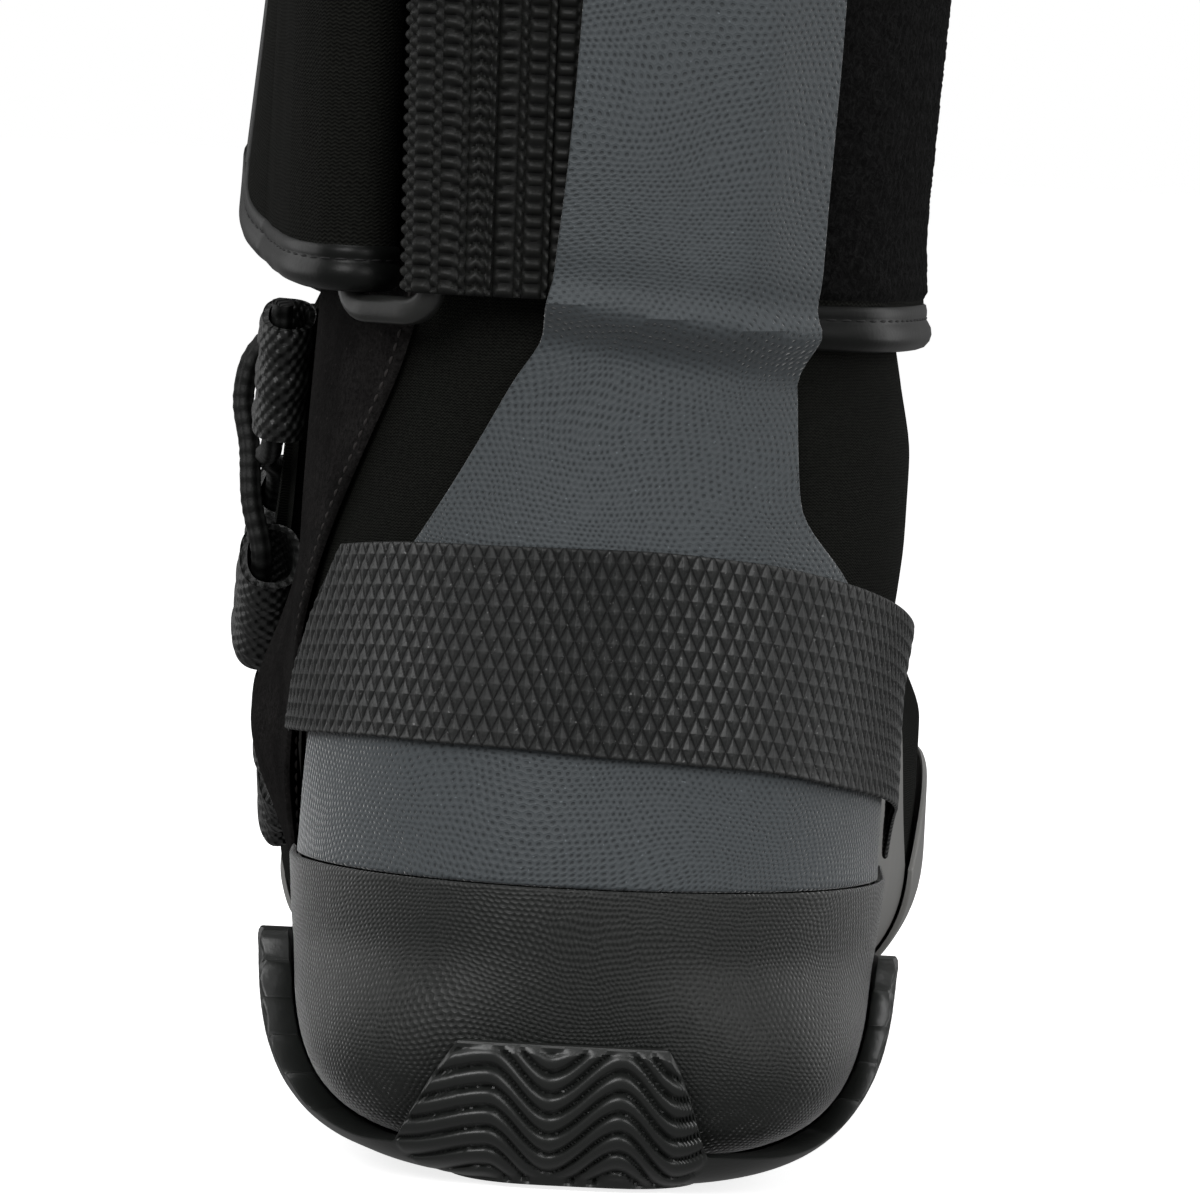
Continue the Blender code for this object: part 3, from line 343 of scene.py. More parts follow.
    def round_leg(self, turn: Array, z: Array, off: Array) -> Array:
        """Points round the leg, a distance off its surface, moved level.

        Args:
            turn: Turns in degrees.
            z: Heights.
            off: Distances off the surface.

        Returns:
            Points in millimetres.
        """
        a = np.radians(turn)
        x, y = np.sin(a), -np.cos(a)
        run = self.reach(0.0, self.leg, x, y, z)
        step = math.radians(0.5)
        side = self.reach(0.0, self.leg, np.sin(a + step), -np.cos(a + step), z)
        lean = np.arctan2(side - run, run * step)
        n = rows_of(np.sin(a - lean), -np.cos(a - lean), np.zeros_like(a))
        return (rows_of(x * run, self.leg + y * run, np.broadcast_to(z, run.shape))
                + n * np.reshape(off, (-1, 1)))


LAST = Last()
WALL, GAP = 4.0, 0.35


@dataclass
class Throat:
    """The slot down the inner side, from the collar to the midfoot."""

    line: Table = table(
        "share y z half",
        (-0.08, 113.5, 33.5, 2.5),
        (0, 106, 37, 2.5),
        (0.04, 102, 39, 4.5),
        (0.15, 90, 45.5, 5.5),
        (0.28, 74, 55, 6.2),
        (0.40, 59, 66, 6.8),
        (0.52, 45, 78.5, 7.4),
        (0.63, 34, 91, 8),
        (0.74, 27, 105, 8.4),
        (0.86, 24.5, 128, 8.8),
        (1, 24, 200, 9),
    )

    def half(self, share: Any) -> Array:
        """Half the slot's width."""
        return self.line.at("half", share)

    def beside(self, share: Array, off: Array) -> tuple[Array, Array]:
        """Points beside the middle line, in the side view.

        Args:
            share: Shares along the slot.
            off: Distances from its middle, positive towards the toe.

        Returns:
            Y and z of the points.
        """
        step = 1e-3
        dy = self.line.at("y", share + step) - self.line.at("y", share - step)
        dz = self.line.at("z", share + step) - self.line.at("z", share - step)
        size = np.hypot(dy, dz)
        return self.line.at("y", share) + off * dz / size, self.line.at("z", share) - off * dy / size


THROAT = Throat()


# Meshes
class Mesher:
    """Makes pieces from primitives, as by hand."""

    @staticmethod
    def alone(obj: Obj) -> None:
        """Selects one object and makes it active.

        Args:
            obj: The object.
        """
        bpy.ops.object.select_all(action="DESELECT")
        obj.select_set(True)
        bpy.context.view_layer.objects.active = obj

    @staticmethod
    def grid(name: str, across: int, along: int, place: Place,
             flow: Optional[Place] = None) -> Obj:
        """A grid primitive whose points a function puts.

        Args:
            name: The object's name.
            across: Faces in the s direction.
            along: Faces in the t direction.
            place: Points in millimetres from s and t, both from 0 to 1.
            flow: Pattern coordinates in millimetres from s and t, kept as the UV map.

        Returns:
            The object, at the origin.
        """
        bpy.ops.object.select_all(action="DESELECT")
        bpy.ops.mesh.primitive_grid_add(x_subdivisions=across, y_subdivisions=along, size=2.0)
        obj = bpy.context.active_object
        obj.name = obj.data.name = name
        mesh = obj.data
        flat = np.empty(len(mesh.vertices) * 3, np.float32)
        mesh.vertices.foreach_get("co", flat)
        s = np.rint((flat[0::3].astype(float) + 1) / 2 * across) / across
        t = np.rint((flat[1::3].astype(float) + 1) / 2 * along) / along
        points = np.asarray(place(s, t), float) * MM
        mesh.vertices.foreach_set("co", points.astype(np.float32).ravel())
        if flow is not None:
            corner = np.empty(len(mesh.loops), np.int32)
            mesh.loops.foreach_get("vertex_index", corner)
            uv = (np.asarray(flow(s, t), float) * MM)[corner]
            mesh.uv_layers[0].data.foreach_set("uv", uv.astype(np.float32).ravel())
        mesh.update()
        return obj

    @staticmethod
    def edit(obj: Obj, *steps: Callable[[], Any]) -> None:
        """Runs operators on the whole of a mesh in edit mode.

        Args:
            obj: The mesh's object.
            steps: Operators, run in order.
        """
        Mesher.alone(obj)
        bpy.ops.object.mode_set(mode="EDIT")
        bpy.ops.mesh.select_all(action="SELECT")
        for step in steps:
            step()
        bpy.ops.object.mode_set(mode="OBJECT")

    @staticmethod
    def weld(obj: Obj, within: float = WELD) -> None:
        """Closes seams, and turns all faces out."""
        Mesher.edit(obj, lambda: bpy.ops.mesh.remove_doubles(threshold=within),
                    lambda: bpy.ops.mesh.normals_make_consistent(inside=False))

    @staticmethod
    def close(obj: Obj, fill: Callable[[], Any]) -> None:
        """Welds a mesh, closes its open edges and turns all faces out.

        Args:
            obj: The mesh's object.
            fill: The operator that closes the open edges, which are selected then.
        """
        Mesher.edit(
            obj,
            lambda: bpy.ops.mesh.remove_doubles(threshold=WELD),
            lambda: bpy.ops.mesh.select_all(action="DESELECT"),
            lambda: bpy.ops.mesh.select_non_manifold(
                extend=False, use_wire=False, use_boundary=True, use_multi_face=False,
                use_non_contiguous=False, use_verts=False),
            fill,
            lambda: bpy.ops.mesh.select_all(action="SELECT"),
            lambda: bpy.ops.mesh.normals_make_consistent(inside=False))

    @staticmethod
    def cap(obj: Obj) -> None:
        """Fills open ends and turns all faces out."""
        Mesher.close(obj, lambda: bpy.ops.mesh.fill_holes(sides=0))

    @staticmethod
    def modify(obj: Obj, kind: str, **settings: Any) -> None:
        """Adds a modifier and applies it.

        Args:
            obj: The object.
            kind: The modifier's type.
            settings: Its properties.
        """
        Mesher.alone(obj)
        modifier = obj.modifiers.new(kind.lower(), kind)
        for key, value in settings.items():
            setattr(modifier, key, value)
        bpy.ops.object.modifier_apply(modifier=modifier.name)

    @staticmethod
    def face_out(obj: Obj, away_from: Callable[[Array], Array]) -> None:
        """Turns an open sheet so that its faces point away from an inner line.

        Args:
            obj: The sheet.
            away_from: The point of the line for each face's middle, in metres.
        """
        mesh = obj.data
        centre, normal = (np.empty(len(mesh.polygons) * 3, np.float32) for _ in range(2))
        mesh.polygons.foreach_get("center", centre)
        mesh.polygons.foreach_get("normal", normal)
        centre, normal = centre.reshape(-1, 3), normal.reshape(-1, 3)
        if np.sum(normal * (centre - away_from(centre))) < 0:
            Mesher.edit(obj, bpy.ops.mesh.flip_normals)

    @staticmethod
    def smooth(obj: Obj, angle: float = 38.0) -> None:
        """Shades smooth, apart from edges sharper than the angle."""
        Mesher.alone(obj)
        bpy.ops.object.shade_smooth_by_angle(angle=math.radians(angle))

    @staticmethod
    def join(name: str, objects: Sequence[Obj]) -> Obj:
        """Joins objects into the first one.

        Args:
            name: The joined object's name.
            objects: The objects.

        Returns:
            The object.
        """
        Mesher.alone(objects[0])
        for obj in objects[1:]:
            obj.select_set(True)
        bpy.ops.object.join()
        obj = bpy.context.active_object
        obj.name = obj.data.name = name
        return obj


def normals_of(surface: Place, s: Array, t: Array, step: float = 1e-3) -> Array:
    """Unit normals of a surface function.

    Args:
        surface: The surface.
        s: Shares across.
        t: Shares along.
        step: The share between which slopes are read.

    Returns:
        The normals.
    """
    ds = surface(np.clip(s + step, 0, 1), t) - surface(np.clip(s - step, 0, 1), t)
    dt = surface(s, np.clip(t + step, 0, 1)) - surface(s, np.clip(t - step, 0, 1))
    n = np.cross(ds, dt)
    return n / np.maximum(np.linalg.norm(n, axis=1, keepdims=True), 1e-9)


def core_line(centre: Array) -> Array:
    """A line inside the boot, in metres, that its outer faces point away from.

    Args:
        centre: Points of the boot.

    Returns:
        The point of the line that belongs to each.
    """
    line = np.zeros_like(centre)
    line[:, 1] = np.clip(centre[:, 1], 0.0, 0.2)
    line[:, 2] = np.where(centre[:, 1] > 0.08, 0.02, np.clip(centre[:, 2], 0.03, 1.0))
    return line


def measured(surface: Place) -> Place:
    """Pattern coordinates that are measured on a surface, from its middle line.

    Args:
        surface: The surface.

    Returns:
        Coordinates in millimetres from shares across and along it.
    """
    knots = np.linspace(0, 1, NET)
    net = surface(*(g.ravel() for g in np.meshgrid(knots, knots))).reshape(NET, NET, 3)
    across = np.linalg.norm(np.diff(net, axis=1), axis=2).sum(axis=1)
    up = lengths_along(net[:, NET // 2])
    return lambda s, t: rows_of((s - 0.5) * np.interp(t, knots, across), np.interp(t, knots, up))


@dataclass
class Sheet:
    """A sheet that lies on the last, with a rounded edge.

    Attributes:
        name: The piece's name.
        surface: Points of the last under the sheet, from s and t.
        wide: Its rough width in millimetres along s.
        tall: Its rough height in millimetres along t.
        start: How far its inner face lies off the last, one value or a function of the points.
        thick: Its thickness.
        pitch: The rough size of a face.
        relief: Height added to the outer face, from pattern coordinates in millimetres and the points.
        edge: The radius of the rounded edge.
        flow: The pattern coordinates in millimetres, where they differ from the shares.
    """

    name: str
    surface: Place
    wide: float
    tall: float
    start: Any
    thick: float
    pitch: float = 1.4
    relief: Optional[Callable[[Array, Array, Array], Array]] = None
    edge: float = 0.8
    flow: Optional[Place] = None

    def _spread(self, size: float, pitch: float) -> Array:
        """Shares from 0 to 1 with close rows at both edges.

        Args:
            size: Length of the side.
            pitch: The rough size of a face.

        Returns:
            The shares.
        """
        close = np.array([0.0, 0.12, 0.4, 0.8, 1.3]) * self.edge / size
        count = max(int(size / pitch), 4)
        inner = np.linspace(1.9 * self.edge / size, 1 - 1.9 * self.edge / size, count)
        return np.concatenate([close, inner, 1 - close[::-1]])

    def build(self, pitch_t: Optional[float] = None) -> Obj:
        """Makes the sheet as a closed mesh.

        Args:
            pitch_t: The size of a face along t where it differs.

        Returns:
            The object.
        """
        shares_s, shares_t = self._spread(self.wide, self.pitch), self._spread(self.tall, pitch_t or self.pitch)

        def shares(s: Array, t: Array) -> tuple[Array, Array]:
            """The uneven shares at even ones."""
            i = nearest(s * (len(shares_s) - 1))
            j = nearest(t * (len(shares_t) - 1))
            return shares_s[i], shares_t[j]

        def flow(s: Array, t: Array) -> Array:
            """Pattern coordinates in millimetres."""
            a, b = shares(s, t)
            return self.flow(a, b) if self.flow else rows_of(a * self.wide, b * self.tall)

        def place(s: Array, t: Array) -> Array:
            """The outer face, with its rounded rim and its relief.

            Args:
                s: Shares across.
                t: Shares along.

            Returns:
                Points in millimetres.
            """
            a, b = shares(s, t)
            here = self.surface(a, b)
            n = normals_of(self.surface, a, b)
            middle = here * MM
            sense = np.sign(np.sum(n * (middle - core_line(middle))))
            inset = np.minimum(np.minimum(a, 1 - a) * self.wide, np.minimum(b, 1 - b) * self.tall)
            rim = np.clip(inset / self.edge, 0, 1)
            rim = np.sqrt(1 - (1 - rim) ** 2)
            start = self.start(here) if callable(self.start) else np.full(len(here), self.start)
            level = start + self.thick - self.edge + self.edge * rim
            if self.relief is not None:
                u, v = flow(s, t).T
                level = level + self.relief(u, v, here) * rim
            return here + sense * n * level[:, None]

        obj = Mesher.grid(self.name, len(shares_s) - 1, len(shares_t) - 1, place, flow)
        Mesher.face_out(obj, core_line)
        Mesher.modify(obj, "SOLIDIFY", thickness=max(self.thick - self.edge, 0.3) * MM, offset=-1.0)
        Mesher.smooth(obj, 50.0)
        return obj


def tube(name: str, path: Array, across: Array, away: Array, section: Place, sides: int,
         closed: bool = False, flow_round: float = 10.0) -> Obj:
    """A bar along a path.

    Args:
        name: The object's name.
        path: Points of the path in millimetres.
        across: A unit vector at each point, level with the section's first axis.
        away: A unit vector at each point, level with the section's second axis.
        section: Offsets along both axes from the share round the section and the length along the path.
        sides: Faces round the section.
        closed: Whether the path is a loop.
        flow_round: The pattern coordinate's length round the section.

    Returns:
        The object, closed at its ends.
    """
    count = len(path)
    run = lengths_along(path)
    last = count if closed else count - 1
    total = run[-1] + (np.linalg.norm(path[0] - path[-1]) if closed else 0.0)

    def place(s: Array, t: Array) -> Array:
        """The bar's skin."""
        i = nearest(t * last)
        length = np.append(run, total)[i]
        i = i % count
        off = section(s, length)
        return path[i] + across[i] * off[:, :1] + away[i] * off[:, 1:]

    def flow(s: Array, t: Array) -> Array:
        """Pattern coordinates: round the section and along the path."""
        i = nearest(t * last)
        return rows_of(s * flow_round, np.append(run, total)[i])

    obj = Mesher.grid(name, sides, last, place, flow)
    if closed:
        Mesher.weld(obj)
    else:
        Mesher.cap(obj)
    Mesher.smooth(obj, 50.0)
    return obj


def smooth_path(points: Sequence[Array], count: int) -> Array:
    """Evenly spaced points on a smooth curve through some points.

    Args:
        points: The points.
        count: How many to make.

    Returns:
        Points in millimetres.
    """
    points = np.array(points, float)
    run = lengths_along(points)
    slope = np.gradient(points, run, axis=0)
    fine = np.linspace(0, run[-1], count)
    i = np.clip(np.searchsorted(run, fine, "right") - 1, 0, len(run) - 2)
    step = (run[i + 1] - run[i])[:, None]
    t = ((fine - run[i]) / step[:, 0])[:, None]
    return (points[i] * (1 + 2 * t) * (1 - t) ** 2 + slope[i] * step * t * (1 - t) ** 2
            + points[i + 1] * t * t * (3 - 2 * t) + slope[i + 1] * step * t * t * (t - 1))


def frames_along(path: Array, lead: Array, closed: bool = False) -> tuple[Array, Array]:
    """Unit vectors across a path and away along a lead direction, at right angles to it.

    Args:
        path: Points of the path.
        lead: The lead direction, one or one a point.
        closed: Whether the path is a loop.

    Returns:
        Vectors across and away.
    """
    if closed:
        ahead = np.roll(path, -1, axis=0) - np.roll(path, 1, axis=0)
    else:
        ahead = np.gradient(path, axis=0)
    ahead = unit(ahead)
    lead = np.broadcast_to(lead, path.shape)
    away = unit(lead - ahead * np.sum(lead * ahead, axis=1, keepdims=True))
    return np.cross(ahead, away), away


def ball() -> tuple[Array, list[tuple[int, ...]]]:
    """A small unit ball round Z, sorted because Blender orders it anew in every run.

    Returns:
        The points, and the faces over them.
    """
    bpy.ops.object.select_all(action="DESELECT")
    bpy.ops.mesh.primitive_uv_sphere_add(segments=8, ring_count=5, radius=1.0)
    one = bpy.context.active_object
    form = np.round([v.co for v in one.data.vertices], 6)
    order = np.lexsort(np.round(form, 4).T)
    rank = np.argsort(order).tolist()
    faces = []
    for face in one.data.polygons:
        corners = [rank[v] for v in face.vertices]
        least = corners.index(min(corners))
        faces.append(tuple(corners[least:] + corners[:least]))
    bpy.data.objects.remove(one)
    return form[order], sorted(faces)


def stitches(name: str, path: Array, lead: Array, length: float, gap: float, radius: float) -> Obj:
    """A row of short stitches along a path, as one mesh.

    Args:
        name: The object's name.
        path: Points of the row in millimetres.
        lead: The direction away from the surface at each point.
        length: Length of a stitch.
        gap: Between two stitches.
        radius: Half a stitch's thickness.

    Returns:
        The object.
    """
    run = lengths_along(path)
    count = max(int(run[-1] / (length + gap)), 1)
    form, faces = ball()
    starts = (np.arange(count) + 0.5) * run[-1] / count
    middle = between(starts, run, path)
    ahead = unit(between(starts + 0.2, run, path) - between(starts - 0.2, run, path))
    up = between(starts, run, np.broadcast_to(lead, path.shape))
    up = unit(up - ahead * np.sum(up * ahead, axis=1, keepdims=True))
    side = np.cross(up, ahead)
    arc = 1 - 0.5 * form[:, 2] ** 2
    points = (middle[:, None] + ahead[:, None] * (form[:, 2:] * length / 2) + side[:, None] * (form[:, :1] * radius)
              + up[:, None] * (form[:, 1:2] * radius * arc[:, None] + (arc[:, None] - 1) * radius))
    mesh = bpy.data.meshes.new(name)
    mesh.from_pydata((points.reshape(-1, 3) * MM).tolist(), [],
                     [tuple(i + k * len(form) for i in f) for k in range(count) for f in faces])
    obj = bpy.data.objects.new(name, mesh)
    bpy.context.scene.collection.objects.link(obj)
    mesh.polygons.foreach_set("use_smooth", np.ones(len(mesh.polygons), bool))
    return obj


# Finishes
class Value:
    """A shader socket that takes part in arithmetic."""

    def __init__(self, nodes: "Nodes", socket: Any) -> None:
        """Wraps a socket of a node tree."""
        self.nodes, self.socket = nodes, socket

    def math(self, operation: str, *others: Any, first: bool = True) -> "Value":
        """Adds a Math node on this value and others.

        Args:
            operation: The node's operation.
            others: The other inputs.
            first: Whether this value comes first.

        Returns:
            The result.
        """
        inputs = [self, *others] if first else [*others, self]
        node = self.nodes.add("ShaderNodeMath", {"operation": operation}, dict(enumerate(inputs)))
        return Value(self.nodes, node.outputs[0])

    def __add__(self, other: Any) -> "Value":
        """Sum."""
        return self.math("ADD", other)

    __radd__ = __add__

    def __mul__(self, other: Any) -> "Value":
        """Product."""
        return self.math("MULTIPLY", other)

    __rmul__ = __mul__

    def __sub__(self, other: Any) -> "Value":
        """Difference."""
        return self.math("SUBTRACT", other)

    def __rsub__(self, other: Any) -> "Value":
        """Difference, the other way round."""
        return self.math("SUBTRACT", other, first=False)

    def __pow__(self, other: Any) -> "Value":
        """Power."""
        return self.math("POWER", other)

    def sine(self) -> "Value":
        """Sine of the value in radians."""
        return self.math("SINE")

    def size(self) -> "Value":
        """Absolute value."""
        return self.math("ABSOLUTE")

    def step(self, start: float, end: float) -> "Value":
        """A smooth step from 0 at start to 1 at end.

        Args:
            start: Where it leaves 0.
            end: Where it gets to 1.

        Returns:
            The result.
        """
        node = self.nodes.add("ShaderNodeMapRange", {"interpolation_type": "SMOOTHSTEP", "clamp": True},
                              {"Value": self, "From Min": start, "From Max": end, "To Min": 0.0, "To Max": 1.0})
        return Value(self.nodes, node.outputs[0])


Colour = tuple[float, float, float]


class Nodes:
    """A material's node tree, with one method that adds a node."""

    def __init__(self, material: bpy.types.Material) -> None:
        """Takes up a material's tree and its Principled shader.

        Args:
            material: The material.
        """
        material.use_nodes = True
        self.tree = material.node_tree
        self.shader = self.tree.nodes["Principled BSDF"]

    def link(self, source: Any, socket: Any) -> None:
        """Links a value to a socket, or sets the socket to a number.

        Args:
            source: A value, a socket, a colour or a number.
            socket: The input.
        """
        if isinstance(source, Value):
            self.tree.links.new(source.socket, socket)
        elif isinstance(source, bpy.types.NodeSocket):
            self.tree.links.new(source, socket)
        elif isinstance(source, (tuple, list)) and len(source) == 3 and len(socket.default_value) == 4:
            socket.default_value = (*source, 1.0)
        else:
            socket.default_value = source

    def add(self, kind: str, settings: dict[str, Any], sockets: dict[Any, Any]) -> Any:
        """Adds a node.

        Args:
            kind: The node's type.
            settings: Its properties, set first.
            sockets: Values or links by the socket's name or number.

        Returns:
            The node.
        """
        node = self.tree.nodes.new(kind)
        for key, value in settings.items():
            setattr(node, key, value)
        for key, value in sockets.items():
            self.link(value, node.inputs[key])
        return node

    def dress(self, inputs: dict[str, Any]) -> None:
        """Links or sets inputs of the Principled shader by their names."""
        for name, value in inputs.items():
            self.link(value, self.shader.inputs[name])

    def object_point(self) -> Any:
        """The point in the boot's frame, in metres."""
        return self.add("ShaderNodeTexCoord", {}, {}).outputs["Object"]

    def flow_point(self) -> Any:
        """The piece's own pattern coordinates, in metres."""
        return self.add("ShaderNodeUVMap", {}, {}).outputs["UV"]

    def parts(self, point: Any) -> tuple[Value, Value, Value]:
        """The three numbers of a point."""
        out = self.add("ShaderNodeSeparateXYZ", {}, {0: point}).outputs
        return Value(self, out[0]), Value(self, out[1]), Value(self, out[2])

    def noise(self, point: Any, size: float, detail: float = 2.0, rough: float = 0.5) -> Value:
        """Noise with features of a size in metres.

        Args:
            point: Where.
            size: Size of its features.
            detail: Its finer layers.
            rough: Their weight.

        Returns:
            The noise, from 0 to 1.
        """
        node = self.add("ShaderNodeTexNoise", {}, {"Vector": point, "Scale": 1.0 / size, "Detail": detail,
                                                   "Roughness": rough})
        return Value(self, node.outputs["Fac"])

    def warp(self, point: Any, size: float, amount: float) -> Any:
        """A point moved by soft noise.

        Args:
            point: Where.
            size: Size of the noise.
            amount: How far a point moves, in metres.

        Returns:
            The moved point.
        """
        noise = self.add("ShaderNodeTexNoise", {}, {"Vector": point, "Scale": 1.0 / size, "Detail": 1.0})
        moved = self.add("ShaderNodeVectorMath", {"operation": "MULTIPLY_ADD"},
                         {0: noise.outputs["Color"], 1: (amount, amount, amount), 2: point})
        return moved.outputs[0]

    def cells(self, point: Any, pitch: float) -> Value:
        """Distance to the middle of a loose cell, in pitches."""
        node = self.add("ShaderNodeTexVoronoi", {}, {"Vector": point, "Scale": 1.0 / pitch, "Randomness": 1.0})
        return Value(self, node.outputs["Distance"])

    def hexes(self, point: Any, pitch: float) -> Value:
        """Distance to the nearest point of a honeycomb lattice, in pitches.

        Args:
            point: Where.
            pitch: Between two points, in metres.

        Returns:
            The distance.
        """
        u, v, _ = self.parts(point)
        x, y = u * (1 / pitch) + 90.0, v * (1 / (pitch * math.sqrt(3))) + 90.0

        def far(shift: float) -> Value:
            """Squared distance to one of the two square lattices."""
            a, b = (x + shift).math("FRACT") - 0.5, ((y + shift).math("FRACT") - 0.5) * math.sqrt(3)
            return a * a + b * b
        return far(0.0).math("MINIMUM", far(0.5)).math("SQRT")

    def mix(self, share: Any, first: Any, second: Any) -> Any:
        """A colour between two.

        Args:
            share: Share of the second.
            first: A colour.
            second: A colour.

        Returns:
            The colour's socket.
        """
        node = self.add("ShaderNodeMix", {"data_type": "RGBA"}, {})
        self.link(share, node.inputs[0])
        self.link(first, node.inputs[6])
        self.link(second, node.inputs[7])
        return node.outputs[2]


Pattern = tuple[Any, Any, Value]
SHEEN_ROUGH = 0.3


def shade(colour: Colour, by: float) -> Colour:
    """A colour made darker or lighter."""
    return (colour[0] * by, colour[1] * by, colour[2] * by)


@dataclass(frozen=True)
class Finish:
    """A material: a colour, a gloss, and a pattern that subclasses draw.

    Attributes:
        name: The material's name.
        colour: Its main colour, linear.
        rough: Its roughness.
        depth: Depth of its bump in millimetres.
        specular: Its specular level.
        sheen: Its sheen.
    """

    name: str
    colour: Colour
    rough: float
    depth: float = 0.1
    specular: float = 0.5
    sheen: float = 0.0

    def pattern(self, nodes: Nodes) -> Pattern:
        """Soft clouds and a fine grain.

        Args:
            nodes: The material's node tree.

        Returns:
            Colour, roughness and height.
        """
        point = nodes.object_point()
        cloud = nodes.noise(point, 0.012, 3.0)
        fine = nodes.noise(point, 0.0006, 2.0)
        colour = self.tint(nodes, cloud, 0.85, 1.15)
        return colour, self.rough + (cloud - 0.5) * 0.12, fine

    def tint(self, nodes: Nodes, share: Any, dark: float, pale: float) -> Any:
        """The colour between a darker and a paler shade of it."""
        return nodes.mix(share, shade(self.colour, dark), shade(self.colour, pale))

    def make(self) -> bpy.types.Material:
        """Makes the material, once.

        Returns:
            The material.
        """
        found = bpy.data.materials.get(self.name)
        if found is not None:
            return found
        material = bpy.data.materials.new(self.name)
        nodes = Nodes(material)
        colour, rough, height = self.pattern(nodes)
        bump = nodes.add("ShaderNodeBump", {}, {"Height": height, "Distance": self.depth * MM, "Strength": 1.0})
        nodes.dress({"Base Color": colour, "Roughness": rough, "Specular IOR Level": self.specular,
                     "Sheen Weight": self.sheen, "Sheen Roughness": SHEEN_ROUGH, "Normal": bump.outputs[0]})
        return material


@dataclass(frozen=True)
class KnitFoam(Finish):
    """Foam rubber faced with a fine knit: rows of small loops."""

    row: float = 0.62
    column: float = 0.9

    def pattern(self, nodes: Nodes) -> Pattern:
        """Knit rows with soft unevenness, their crests painted lighter as highlight.

        Args:
            nodes: The material's node tree.

        Returns:
            Colour, roughness and height.
        """
        u, v, _ = nodes.parts(nodes.warp(nodes.flow_point(), 0.006, 0.0012))
        turn = 2 * math.pi / MM
        lean = (u * (turn / self.column)).sine()
        rows = (v * (turn / self.row) + lean * 1.4).sine() * 0.5 + 0.5
        point = nodes.object_point()
        cloud = nodes.noise(point, 0.02, 3.0)
        lint = nodes.noise(point, 0.00045, 3.0, 0.7)
        height = rows * 0.7 + lint * 0.5
        # The knit's crests are painted lighter as highlight and its troughs darker as painted shade; the pale lint
        # specks are its own colour.
        colour = self.tint(nodes, rows * 0.6 + lint.step(0.3, 0.75) * 0.4, 0.3, 2.2)
        return colour, self.rough + (cloud - 0.5) * 0.1, height


@dataclass(frozen=True)
class DimpledRubber(Finish):
    """Rubberised sheet with small dimples in flowing rows, painted dark inside as shade."""

    pitch: float = 0.76

    def pattern(self, nodes: Nodes) -> Pattern:
        """Dimples with painted shade inside, a painted highlight on the web between them, scattered pale specks and
        soft clouds.

        Args:
            nodes: The material's node tree.

        Returns:
            Colour, roughness and height.
        """
        point = nodes.flow_point()
        flow = nodes.warp(nodes.warp(point, 0.03, 0.014), 0.0021, 0.0007)
        far = nodes.hexes(flow, self.pitch * MM)
        here = nodes.object_point()
        pit = (1 - far.step(0.10, 0.30)) * (nodes.noise(here, 0.0014, 1.0).step(0.28, 0.62) * 0.6 + 0.4)
        web = far.step(0.36, 0.56)
        cloud = nodes.noise(here, 0.018, 3.0)
        pale_speck = nodes.noise(here, 0.0005, 1.0).step(0.745, 0.79)
        colour = self.tint(nodes, cloud, 0.9, 1.1)
        # Painted highlight: the raised web between the dimples is made lighter.
        colour = nodes.mix(web * 0.3, colour, shade(self.colour, 1.3))
        # Painted shade: the dimples are made darker inside.
        colour = nodes.mix(pit * 0.62, colour, shade(self.colour, 0.28))
        colour = nodes.mix(pale_speck * 0.5, colour, shade(self.colour, 3.0))
        return colour, self.rough + (cloud - 0.5) * 0.14 + pit * 0.1, web * 0.35 - pit


@dataclass(frozen=True)
class Suede(Finish):
    """Napped leather."""

    def pattern(self, nodes: Nodes) -> Pattern:
        """Nap that lies in patches, with pale lint.

        Args:
            nodes: The material's node tree.

        Returns:
            Colour, roughness and height.
        """
        point = nodes.object_point()
        patch = nodes.noise(point, 0.008, 4.0, 0.6)
        nap = nodes.noise(nodes.warp(point, 0.002, 0.0012), 0.0006, 4.0, 0.75)
        lint = nodes.noise(nodes.warp(point, 0.001, 0.0012), 0.0008, 2.0).step(0.66, 0.76)
        colour = self.tint(nodes, patch.step(0.3, 0.7), 0.65, 1.5)
        colour = nodes.mix(nap.step(0.25, 0.7), shade(self.colour, 0.3), colour)
        colour = nodes.mix(lint * 0.35, colour, (0.06, 0.055, 0.052))
        return colour, self.rough + (patch - 0.5) * 0.08, nap


@dataclass(frozen=True)
class LoopPile(Finish):
    """The woolly face of a hook-and-loop strap."""

    def pattern(self, nodes: Nodes) -> Pattern:
        """Tangled fine loops.

        Args:
            nodes: The material's node tree.

        Returns:
            Colour, roughness and height.
        """
        point = nodes.object_point()
        curl = nodes.noise(nodes.warp(point, 0.0018, 0.0022), 0.0007, 4.0, 0.75)
        tuft = nodes.cells(nodes.warp(point, 0.002, 0.002), 0.0016)
        height = curl * 0.8 - tuft * 0.5
        colour = self.tint(nodes, curl.step(0.4, 0.72), 0.25, 3.2)
        return colour, self.rough, height


@dataclass(frozen=True)
class Weave(Finish):
    """Woven webbing: yarns over and under one another."""

    warp_pitch: float = 0.8
    weft_pitch: float = 1.0

    def pattern(self, nodes: Nodes) -> Pattern:
        """A plain weave with fine fibres; the yarns on top are painted lighter as highlight and those under them darker
        as shade.

        Args:
            nodes: The material's node tree.

        Returns:
            Colour, roughness and height.
        """
        u, v, _ = nodes.parts(nodes.flow_point())
        turn = math.pi / MM
        a, b = (u * (turn / self.warp_pitch)).sine(), (v * (turn / self.weft_pitch)).sine()
        over = (a * b) * 0.5 + 0.5
        point = nodes.object_point()
        fibre = nodes.noise(point, 0.0003, 2.0)
        # Painted highlight on the yarns that lie over, painted shade on the yarns under them.
        colour = self.tint(nodes, over, 0.4, 1.7)
        return colour, self.rough + (fibre - 0.5) * 0.2, over + fibre * 0.25


